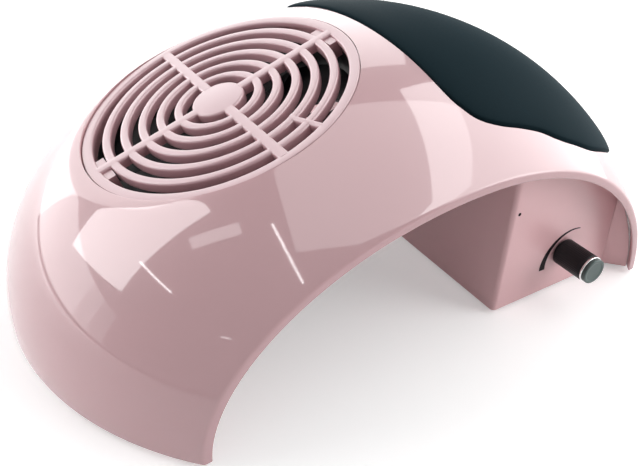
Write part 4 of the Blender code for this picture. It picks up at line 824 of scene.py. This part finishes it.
def build_pad(material):
    outline = pad_outline()
    floor = FIT - PAD_POCKET_DEPTH
    floor_shares = [k / PAD_FLOOR_RINGS for k in range(1, PAD_FLOOR_RINGS + 1)]
    rings = [pad_ring(outline, share, floor, -PAD_CREASE) for share in floor_shares]
    top_shares = [sin(pi / 2.0 * k / PAD_RINGS) for k in range(PAD_RINGS, 0, -1)]
    rings += [pad_ring(outline, share, pad_height(share), -PAD_CREASE * share) for share in top_shares]
    shape = ring_stack(rings, pad_point(PAD_CENTRE_SHARE, 0.0, floor),
                       pad_point(PAD_CENTRE_SHARE, 0.0, pad_height(0.0)))
    pad = new_object("hand_rest_pad", shape)
    settle(pad, "body", "hand_rest_cushion", material, PAD_SMOOTH_ANGLE)
    return pad


# Grille

def crowned(near, far, round_near, round_far, depth):
    """The section of a grille rib from near to far, with rounded top corners."""
    left = arc(round_near, pi, pi / 2.0, CROWN_STEPS, (near + round_near, -round_near))
    right = arc(round_far, pi / 2.0, 0.0, CROWN_STEPS, (far - round_far, -round_far))
    return [(near, -depth), *left, *right, (far, -depth)]


def grille_bar(width, start, end, angle):
    """A straight rib that runs outward at an angle and stands a little above the round ones."""
    section = crowned(-width / 2.0, width / 2.0, RIB_CROWN, RIB_CROWN, RIB_DEPTH + BAR_RISE)
    outward = Matrix((
        (0.0, 0.0, 1.0, 0.0),
        (1.0, 0.0, 0.0, 0.0),
        (0.0, 1.0, 0.0, BAR_RISE),
        (0.0, 0.0, 0.0, 1.0),
    ))
    return moved(prism(section[::-1], start, end), Matrix.Rotation(angle, 4, "Z") @ outward)


def build_grille(material):
    middle = GRILLE_DISC_RADIUS - RIB_CROWN
    disc_round = arc(RIB_CROWN, 0.0, pi / 2.0, CROWN_STEPS, (middle, -RIB_CROWN))
    disc = [(0.0, -RIB_DEPTH), (GRILLE_DISC_RADIUS, -RIB_DEPTH), *disc_round, (0.0, 0.0)]
    rings = [lathe(disc, GRILLE_STEPS)]
    for number in range(1, SLOT_COUNT + 1):
        far = GRILLE_DISC_RADIUS + number * SLOT_PITCH
        near = far - SLOT_PITCH + SLOT_WIDTH
        if number == SLOT_COUNT:
            section = crowned(near, GRILLE_RADIUS, RIB_CROWN, GRILLE_ROUND, GRILLE_THICKNESS)
        else:
            section = crowned(near, far, RIB_CROWN, RIB_CROWN, RIB_DEPTH)
        rings.append(lathe(section, GRILLE_STEPS))
    grille = new_object("grille_face", joined(rings))
    rim = GRILLE_RADIUS - BAR_END_INSET
    bars = [grille_bar(SPOKE_WIDTH, middle, rim, pi / 2.0 * k) for k in range(4)]
    bridge_start = GRILLE_DISC_RADIUS + (SLOT_COUNT - BRIDGED_SLOTS) * SLOT_PITCH - 2.0 * RIB_CROWN
    bars.append(grille_bar(BRIDGE_WIDTH, bridge_start, rim, BRIDGE_ANGLE))
    combine(grille, "UNION", joined(bars))
    outside = sqrt(DUCT_RADIUS ** 2 - (LUG_LENGTH / 2.0) ** 2) - 2.0 * FIT
    lugs = []
    for side in (-1.0, 1.0):
        near, far = sorted((side * (outside - LUG_WIDTH), side * outside))
        low = (near, -LUG_LENGTH / 2.0, -GRILLE_THICKNESS - LUG_DEPTH)
        lugs.append(box_shape(low, (far, LUG_LENGTH / 2.0, -GRILLE_THICKNESS / 2.0)))
    combine(grille, "UNION", joined(lugs))
    grille.data.transform(grille_matrix())
    return settle(grille, "grille", "grille_cover", material, GRILLE_SMOOTH_ANGLE)


# Fan

def build_fan_housing(material):
    flange = DUCT_RADIUS + SEAT_WIDTH
    wall = DUCT_RADIUS + DUCT_WALL
    profile = [
        (DUCT_RADIUS, FAN_BOTTOM), (flange, FAN_BOTTOM), (flange, FAN_BOTTOM + FLANGE_THICKNESS),
        (wall, FAN_BOTTOM + FLANGE_THICKNESS), (wall, FAN_TOP - FLANGE_THICKNESS),
        (flange, FAN_TOP - FLANGE_THICKNESS), (flange, FAN_TOP), (DUCT_RADIUS, FAN_TOP),
    ]
    housing = new_object("fan_casing", lathe(profile, CASING_STEPS))
    reach = DUCT_RADIUS + DUCT_WALL / 2.0
    half = STRUT_WIDTH / 2.0
    for x0, y0, x1, y1 in [(-reach, -half, reach, half), (-half, -reach, half, reach)]:
        strut = box_shape((x0, y0, FAN_BOTTOM), (x1, y1, MOTOR_PLATE_TOP - FIT))
        combine(housing, "UNION", moved(strut, Matrix.Rotation(radians(45.0), 4, "Z")))
    tube_radius = BEARING_TUBE_BORE + BEARING_TUBE_WALL
    tube_top = MOTOR_PLATE_TOP + BEARING_TUBE_HEIGHT
    mount = lathe([
        (0.0, FAN_BOTTOM), (MOTOR_PLATE_RADIUS, FAN_BOTTOM), (MOTOR_PLATE_RADIUS, MOTOR_PLATE_TOP),
        (tube_radius, MOTOR_PLATE_TOP), (tube_radius, tube_top), (0.0, tube_top),
    ])
    combine(housing, "UNION", mount)
    spots = fan_screw_spots()
    columns = [cylinder(FAN_COLUMN_RADIUS, FAN_BOTTOM, FAN_TOP, spot, SMALL_STEPS) for spot in spots]
    combine(housing, "UNION", joined(columns))
    low, high = FAN_BOTTOM - OVERRUN, FAN_TOP + OVERRUN
    holes = [cylinder(SCREW_RADIUS + FIT, low, high, spot, TINY_STEPS) for spot in spots]
    holes.append(cylinder(BEARING_TUBE_BORE, low, high))
    combine(housing, "DIFFERENCE", joined(holes))
    soften(housing, CASING_EDGE)
    housing.data.transform(grille_matrix())
    return settle(housing, "body", "fan_housing", material, None)


def blade_shape(turn, radial=12, chord=14):
    """One cambered blade with rounded edges, from inside the hub's wall to the tip."""
    shape = bmesh.new()
    root = HUB_RADIUS - HUB_WALL / 2.0
    tip = DUCT_RADIUS - TIP_CLEARANCE
    high = FAN_TOP - HUB_DROP - BLADE_END_INSET - BLADE_THICKNESS
    low = FAN_TOP - HUB_DROP - HUB_HEIGHT + BLADE_END_INSET + BLADE_THICKNESS
    loops = []
    for i in range(radial + 1):
        radius = root + (tip - root) * i / radial
        upper, lower = [], []
        for j in range(chord + 1):
            share = 0.5 - 0.5 * cos(pi * j / chord)
            angle = turn + BLADE_SPAN_ANGLE * (share - 0.5)
            middle = high + (low - high) * share + BLADE_CAMBER * sin(pi * share)
            half = BLADE_THICKNESS / 2.0 * sqrt(max(1.0 - (2.0 * share - 1.0) ** BLADE_BLUNTNESS, 0.0))
            x, y = radius * cos(angle), radius * sin(angle)
            upper.append((x, y, middle + half))
            lower.append((x, y, middle - half))
        loops.append([shape.verts.new(p) for p in upper + lower[-2:0:-1]])
    count = len(loops[0])
    for first, second in zip(loops, loops[1:]):
        for k in range(count):
            after = (k + 1) % count
            shape.faces.new((first[k], first[after], second[after], second[k]))
    shape.faces.new(loops[0])
    shape.faces.new(loops[-1])
    bmesh.ops.recalc_face_normals(shape, faces=shape.faces)
    return shape


def build_impeller(material):
    top = FAN_TOP - HUB_DROP
    cup = HUB_RADIUS - HUB_WALL
    roof = top - HUB_WALL
    shaft, boss, boss_end = SHAFT_RADIUS, SHAFT_BOSS_RADIUS, roof - SHAFT_BOSS_HEIGHT
    hub = lathe(rounded([
        (0.0, top), (HUB_RADIUS, top), (HUB_RADIUS, top - HUB_HEIGHT), (cup, top - HUB_HEIGHT),
        (cup, roof), (boss, roof), (boss, boss_end), (shaft, boss_end), (shaft, roof), (0.0, roof),
    ], HUB_ROUND))
    impeller = new_object("fan_rotor", hub)
    turns = [2.0 * pi * k / BLADE_COUNT for k in range(BLADE_COUNT)]
    combine(impeller, "UNION", joined([blade_shape(turn) for turn in turns]))
    impeller.data.transform(grille_matrix())
    return settle(impeller, "impeller", "fan_impeller", material)


def build_guard(material):
    flange = DUCT_RADIUS + SEAT_WIDTH
    low = GUARD_BOTTOM - GUARD_COLLAR_HEIGHT
    wall = DUCT_RADIUS + GUARD_COLLAR_WALL
    profile = [(DUCT_RADIUS, low), (wall, low), (wall, GUARD_BOTTOM), (flange, GUARD_BOTTOM),
               (flange, GUARD_TOP), (DUCT_RADIUS, GUARD_TOP)]
    guard = new_object("guard_ring", lathe(profile, CASING_STEPS))
    spots = fan_screw_spots()
    lugs = [cylinder(FAN_COLUMN_RADIUS, GUARD_BOTTOM, GUARD_TOP, spot, SMALL_STEPS) for spot in spots]
    combine(guard, "UNION", joined(lugs))
    inset = GUARD_THICKNESS / 4.0
    reach = DUCT_RADIUS + GUARD_COLLAR_WALL / 2.0
    half = GUARD_SPOKE_WIDTH / 2.0
    for x0, y0, x1, y1 in [(-reach, -half, reach, half), (-half, -reach, half, reach)]:
        bar = box_shape((x0, y0, GUARD_BOTTOM + inset), (x1, y1, GUARD_TOP - inset))
        combine(guard, "UNION", bar)
    pitch = DUCT_RADIUS / (GUARD_RINGS + 1)
    rings = []
    for k in range(GUARD_RINGS):
        radius = pitch * (k + 1)
        rings.append(tube(radius, radius + GUARD_RING_WIDTH, GUARD_BOTTOM, GUARD_TOP))
    combine(guard, "UNION", joined(rings))
    holes = [cylinder(SCREW_RADIUS + FIT, low, FAN_TOP, spot, TINY_STEPS) for spot in spots]
    combine(guard, "DIFFERENCE", joined(holes))
    soften(guard, GUARD_EDGE)
    guard.data.transform(grille_matrix())
    return settle(guard, "body", "outlet_guard", material, None)


# Control box

def lean_block(inset, bottom, top):
    """The box's plan drawn in by inset, with its leaning left side and its round upright edges."""
    shape = bmesh.new()
    corners = []
    for z in (bottom, top):
        left = BOX_LEFT_X + inset / cos(BOX_LEAN) + (z - FOOT_HEIGHT) * tan(BOX_LEAN)
        right = BOX_RIGHT_X - inset
        depth = BOX_HALF_DEPTH - inset
        plan = [(left, -depth), (right, -depth), (right, depth), (left, depth)]
        corners.append([shape.verts.new((x, y, z)) for x, y in plan])
    lower, upper = corners
    shape.faces.new(reversed(lower))
    shape.faces.new(upper)
    for k in range(4):
        after = (k + 1) % 4
        shape.faces.new((lower[k], lower[after], upper[after], upper[k]))
    uprights = [e for e in shape.edges if abs(e.verts[0].co.z - e.verts[1].co.z) > OVERRUN]
    bmesh.ops.bevel(shape, geom=uprights, offset=max(BOX_CORNER - inset, BOX_ROUND),
                    segments=BOX_CORNER_STEPS, profile=0.5, affect="EDGES")
    return shape


def wing_shape(side):
    """The reveal that runs from the box's right corner out to the shell's edge."""
    corner = Vector((BOX_RIGHT_X, side * BOX_HALF_DEPTH))
    tip = corner + Vector((WING_REACH_X, side * WING_REACH_Y))
    along = (tip - corner).normalized()
    across = Vector((along.y, -along.x)) * side * -WING_THICKNESS
    root = corner - along * WING_THICKNESS
    points = [root, tip, tip - across, root - across]
    if side > 0.0:
        points.reverse()
    return prism([(p.x, p.y) for p in points], FOOT_HEIGHT, CREST_HEIGHT)


def panel_matrix(x, z, side):
    """From a frame whose +Z points out of the front (-1) or rear (+1) panel."""
    turn = Matrix.Rotation(-side * pi / 2.0, 4, "X")
    return Matrix.Translation((x, side * BOX_HALF_DEPTH, z)) @ turn


def build_box(material):
    box = new_object("control_box_shell", lean_block(0.0, FOOT_HEIGHT, CREST_HEIGHT))
    for side in (-1.0, 1.0):
        combine(box, "UNION", wing_shape(side))
    combine(box, "INTERSECT", dome_volume(SHELL_WALL + FIT, VOLUME_ARCH_STEPS, BOX_DEPTH_STEPS))
    low, high = -OVERRUN, CREST_HEIGHT + OVERRUN
    ledge = COVER_TOP + FIT
    combine(box, "DIFFERENCE", lean_block(BOX_WALL + BOX_LEDGE, low, high))
    combine(box, "DIFFERENCE", lean_block(BOX_WALL, low, ledge))
    combine(box, "DIFFERENCE", lean_block(BOX_WALL, ledge + BOX_LEDGE, high))
    width, height = INLET_HALF_WIDTH + FIT, INLET_HALF_HEIGHT + FIT
    knob_hole = cylinder(BUSHING_RADIUS + FIT, -OVERRUN, OVERRUN)
    inlet_hole = box_shape((-width, -height, -OVERRUN), (width, height, OVERRUN))
    grommet_low, grommet_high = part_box("lead_grommet")
    centre = SHELL_PLACE.inverted() @ ((grommet_low + grommet_high) / 2.0)
    turn = Matrix.Rotation(BOX_LEAN - pi / 2.0, 4, "Y")
    lead_hole = cylinder(GROMMET_HOLE_RADIUS, -OVERRUN, OVERRUN, steps=GROMMET_HOLE_STEPS)
    combine(box, "DIFFERENCE", joined([
        moved(knob_hole, panel_matrix(KNOB_X, KNOB_Z, -1.0)),
        moved(inlet_hole, panel_matrix(INLET_X, INLET_Z, 1.0)),
        moved(lead_hole, Matrix.Translation(centre) @ turn),
    ]))
    soften(box, BOX_EDGE, BOX_EDGE_STEPS, BOX_EDGE_ANGLE)
    return settle(box, "body", "control_box", material, None)


# Knob

def build_knob(black, chrome, grey):
    to_panel = panel_matrix(KNOB_X, KNOB_Z, -1.0)
    top = KNOB_GAP + KNOB_BODY_LENGTH
    neck = KNOB_RADIUS - KNOB_NECK_INSET
    neck_top = top + FIT + KNOB_RING_HEIGHT
    skirt = KNOB_GAP + KNOB_SKIRT
    shoulder = top - KNOB_SHOULDER
    bore_top = KNOB_GAP + KNOB_BORE_DEPTH

    def ribbed(radius, height, angle):
        if radius < KNOB_RADIUS - KNOB_RIB_INSET or height < skirt or height > shoulder:
            return radius
        return radius - KNOB_RIB_DEPTH * (0.5 - 0.5 * cos(KNOB_RIBS * angle))

    body = lathe([
        (KNOB_BORE, KNOB_GAP), (KNOB_RADIUS - KNOB_LOW_ROUND, KNOB_GAP),
        (KNOB_RADIUS - KNOB_ROUND_MIDDLE, KNOB_GAP + KNOB_ROUND_MIDDLE),
        (KNOB_RADIUS, KNOB_GAP + KNOB_LOW_ROUND),
        (KNOB_RADIUS, skirt - KNOB_ROUND_MIDDLE), (KNOB_RADIUS, skirt + KNOB_RIB_RUNOUT),
        (KNOB_RADIUS, shoulder - KNOB_RIB_RUNOUT), (KNOB_RADIUS, shoulder + KNOB_ROUND_MIDDLE),
        (KNOB_RADIUS, top - KNOB_TOP_ROUND),
        (KNOB_RADIUS - KNOB_ROUND_MIDDLE, top - KNOB_ROUND_MIDDLE),
        (KNOB_RADIUS - KNOB_TOP_ROUND, top), (neck, top), (neck, neck_top), (0.0, neck_top),
        (0.0, top - KNOB_ROOF), (KNOB_SHAFT_BORE, top - KNOB_ROOF),
        (KNOB_SHAFT_BORE, bore_top), (KNOB_BORE, bore_top),
    ], KNOB_RIBS * KNOB_FACETS_PER_RIB, ribbed)
    piece = new_object("knob_grip", body)
    piece.data.transform(to_panel)
    settle(piece, "speed_knob", "knob_body", black, KNOB_SMOOTH_ANGLE)
    inner = neck + KNOB_RING_SLACK
    profile = [(inner, top + FIT), (KNOB_RADIUS, top + FIT), (KNOB_RADIUS, neck_top), (inner, neck_top)]
    ring = new_object("knob_bright_ring", lathe(rounded(profile, KNOB_RING_ROUND), KNOB_STEPS))
    ring.data.transform(to_panel)
    settle(ring, "speed_knob", "knob_ring", chrome)
    low = neck_top + FIT
    high = low + KNOB_CAP_HEIGHT
    dish = high - KNOB_CAP_DISH
    radius = KNOB_RADIUS - KNOB_CAP_INSET
    profile = rounded([
        (0.0, low), (radius, low), (radius, high), (radius - KNOB_CAP_RIM, high),
        (radius - KNOB_CAP_DISH_INSET, dish), (0.0, dish),
    ], KNOB_CAP_ROUND, KNOB_CAP_ROUND_STEPS)
    cap = new_object("knob_end_cap", lathe(profile, KNOB_STEPS))
    cap.data.transform(to_panel)
    settle(cap, "speed_knob", "knob_cap", grey)


def build_marks(material):
    """The tapered speed mark and the pilot dot on the front panel, as thin prints."""
    crescent = prism(arc(*MARK_OUTER_ARC) + arc(*MARK_INNER_ARC), PRINT_BACK, PRINT_FACE)
    mark = new_object("speed_mark", moved(crescent, panel_matrix(0.0, 0.0, -1.0)))
    settle(mark, "body", None, material, None)
    profile = [(0.0, PRINT_BACK), (DOT_RADIUS, PRINT_BACK), (DOT_RADIUS, PRINT_FACE), (0.0, PRINT_FACE)]
    dot = moved(lathe(rounded(profile, DOT_ROUND), SMALL_STEPS), panel_matrix(*DOT_PLACE, -1.0))
    pilot = new_object("pilot_dot", dot)
    settle(pilot, "body", None, material, None)


# Materials

def new_material(name, colour, roughness, metallic, sockets):
    material = bpy.data.materials.new(name)
    material.use_nodes = True
    shader = material.node_tree.nodes["Principled BSDF"]
    shader.inputs["Base Color"].default_value = (*colour, 1.0)
    shader.inputs["Roughness"].default_value = roughness
    shader.inputs["Metallic"].default_value = metallic
    for socket, value in sockets.items():
        shader.inputs[socket].default_value = value
    return material


def add_noise(material, scale, tint, rough=None, bump=0.0, stretch=EVEN):
    """Vary a material's colour, roughness and height with noise in the object's own space."""
    tree = material.node_tree
    nodes, links = tree.nodes, tree.links
    shader = nodes["Principled BSDF"]
    place = nodes.new("ShaderNodeTexCoord")
    spread = nodes.new("ShaderNodeMapping")
    spread.inputs["Scale"].default_value = stretch
    noise = nodes.new("ShaderNodeTexNoise")
    noise.inputs["Scale"].default_value = scale
    noise.inputs["Detail"].default_value = NOISE_DETAIL
    links.new(place.outputs["Object"], spread.inputs["Vector"])
    links.new(spread.outputs["Vector"], noise.inputs["Vector"])
    colour = tuple(shader.inputs["Base Color"].default_value)[:3]
    mix = nodes.new("ShaderNodeMix")
    mix.data_type = "RGBA"
    mix.inputs["A"].default_value = (*[c * (1.0 - tint) for c in colour], 1.0)
    mix.inputs["B"].default_value = (*[min(c * (1.0 + tint), 1.0) for c in colour], 1.0)
    links.new(noise.outputs["Fac"], mix.inputs["Factor"])
    links.new(mix.outputs["Result"], shader.inputs["Base Color"])
    if rough:
        span = nodes.new("ShaderNodeMapRange")
        span.inputs["To Min"].default_value = rough[0]
        span.inputs["To Max"].default_value = rough[1]
        links.new(noise.outputs["Fac"], span.inputs["Value"])
        links.new(span.outputs["Result"], shader.inputs["Roughness"])
    if bump:
        height = nodes.new("ShaderNodeBump")
        height.inputs["Strength"].default_value = bump
        height.inputs["Distance"].default_value = BUMP_DEPTH
        links.new(noise.outputs["Fac"], height.inputs["Height"])
        links.new(height.outputs["Normal"], shader.inputs["Normal"])
    return material


def build_materials():
    made = {}
    for slot, row in FINISHES.items():
        name, colour, roughness, metallic, scale, tint, rough, bump, stretch, sockets = row
        material = new_material(name, colour, roughness, metallic, sockets)
        made[slot] = add_noise(material, scale, tint, rough, bump, stretch)
    return made


def dress_nodes(made):
    """Give each CAD node that stays its procedural material."""
    for entry in frame["record"]["subparts"]:
        node = frame["nodes"][entry["node"]]
        node.data.materials.clear()
        node.data.materials.append(made[entry["material_slot"]])


# Stage

def build_camera():
    """The camera that the photograph was taken with."""
    data = bpy.data.cameras.new("camera")
    data.lens = CAMERA_LENS_MM
    data.sensor_width = SENSOR_WIDTH_MM
    data.clip_start = CAMERA_CLIP
    camera = bpy.data.objects.new("camera", data)
    bpy.context.scene.collection.objects.link(camera)
    camera.location = CAMERA_PLACE
    camera.rotation_euler = (pi / 2.0 - CAMERA_PITCH, 0.0, -CAMERA_YAW)
    bpy.context.scene.camera = camera


def softbox(name, aim, azimuth, elevation, roll, distance, width, height, matt, glossy):
    """A softbox facing the object; azimuth turns from the front (-Y) towards the right (+X).

    It is two lamps, one for matt and one for glossy light. The glossy one stands a little nearer,
    because lamps in one place hide each other.
    """
    turn, rise = radians(azimuth), radians(elevation)
    way = Vector((sin(turn) * cos(rise), -cos(turn) * cos(rise), sin(rise)))
    facing = way.to_track_quat("Z", "Y").to_matrix().to_4x4()
    facing = facing @ Matrix.Rotation(radians(roll), 4, "Z")
    for kind, radiance in (("matt", matt), ("gloss", glossy)):
        if radiance == 0.0:
            continue
        data = bpy.data.lights.new(f"{name}_{kind}", "AREA")
        data.shape = "RECTANGLE"
        data.size, data.size_y = width, height
        data.energy = radiance * pi * width * height
        light = bpy.data.objects.new(f"{name}_{kind}", data)
        bpy.context.scene.collection.objects.link(light)
        reach = distance - (GLOSS_LEAD if kind == "gloss" else 0.0)
        light.matrix_world = Matrix.Translation(way * reach + Vector(aim)) @ facing
        light.visible_diffuse = kind == "matt"
        light.visible_glossy = kind == "gloss"


def background_rays(tree):
    """1 for the rays that show the background: those of the camera, gloss and glass."""
    path = tree.nodes.new("ShaderNodeLightPath")
    total = path.outputs["Is Camera Ray"]
    for name in ("Is Glossy Ray", "Is Transmission Ray"):
        larger = tree.nodes.new("ShaderNodeMath")
        larger.operation = "MAXIMUM"
        tree.links.new(total, larger.inputs[0])
        tree.links.new(path.outputs[name], larger.inputs[1])
        total = larger.outputs[0]
    return total


def build_floor():
    """A pale floor, lifted a little where it is seen, so that it meets the white background."""
    low, high = (-FLOOR_REACH, -FLOOR_REACH, -FLOOR_THICKNESS), (FLOOR_REACH, FLOOR_REACH, 0.0)
    floor = new_object("floor", box_shape(low, high))
    material = new_material(*FLOOR_FINISH)
    add_noise(material, FLOOR_NOISE_SCALE, FLOOR_TINT)
    tree = material.node_tree
    lift = tree.nodes.new("ShaderNodeMath")
    lift.operation = "MULTIPLY"
    lift.inputs[1].default_value = FLOOR_LIFT
    glow = tree.nodes.new("ShaderNodeEmission")
    both = tree.nodes.new("ShaderNodeAddShader")
    tree.links.new(background_rays(tree), lift.inputs[0])
    tree.links.new(lift.outputs[0], glow.inputs["Strength"])
    tree.links.new(tree.nodes["Principled BSDF"].outputs[0], both.inputs[0])
    tree.links.new(glow.outputs[0], both.inputs[1])
    tree.links.new(both.outputs[0], tree.nodes["Material Output"].inputs["Surface"])
    floor.data.materials.append(material)


def build_stage():
    build_floor()
    world = bpy.data.worlds.new("studio")
    bpy.context.scene.world = world
    world.use_nodes = True
    tree = world.node_tree
    tree.nodes.clear()
    fill = tree.nodes.new("ShaderNodeBackground")
    fill.inputs["Strength"].default_value = WORLD_FILL
    white = tree.nodes.new("ShaderNodeBackground")
    white.inputs["Strength"].default_value = 1.0
    for background in (fill, white):
        background.inputs["Color"].default_value = (1.0, 1.0, 1.0, 1.0)
    mix = tree.nodes.new("ShaderNodeMixShader")
    output = tree.nodes.new("ShaderNodeOutputWorld")
    tree.links.new(background_rays(tree), mix.inputs["Fac"])
    tree.links.new(fill.outputs[0], mix.inputs[1])
    tree.links.new(white.outputs[0], mix.inputs[2])
    tree.links.new(mix.outputs[0], output.inputs["Surface"])
    for lamp in LAMPS:
        softbox(*lamp)


build_camera()
finishes = build_materials()
dress_nodes(finishes)
build_stage()
build_shell(finishes["shell_pink"])
build_pad(finishes["pad_black"])
build_grille(finishes["grille_pink"])
build_box(finishes["box_pink"])
build_knob(finishes["knob_black"], finishes["knob_chrome"], finishes["knob_cap_grey"])
build_marks(finishes["print_black"])
build_fan_housing(finishes["fan_black"])
build_impeller(finishes["fan_black"])
build_guard(finishes["fan_black"])

bpy.context.scene.view_settings.view_transform = "Standard"
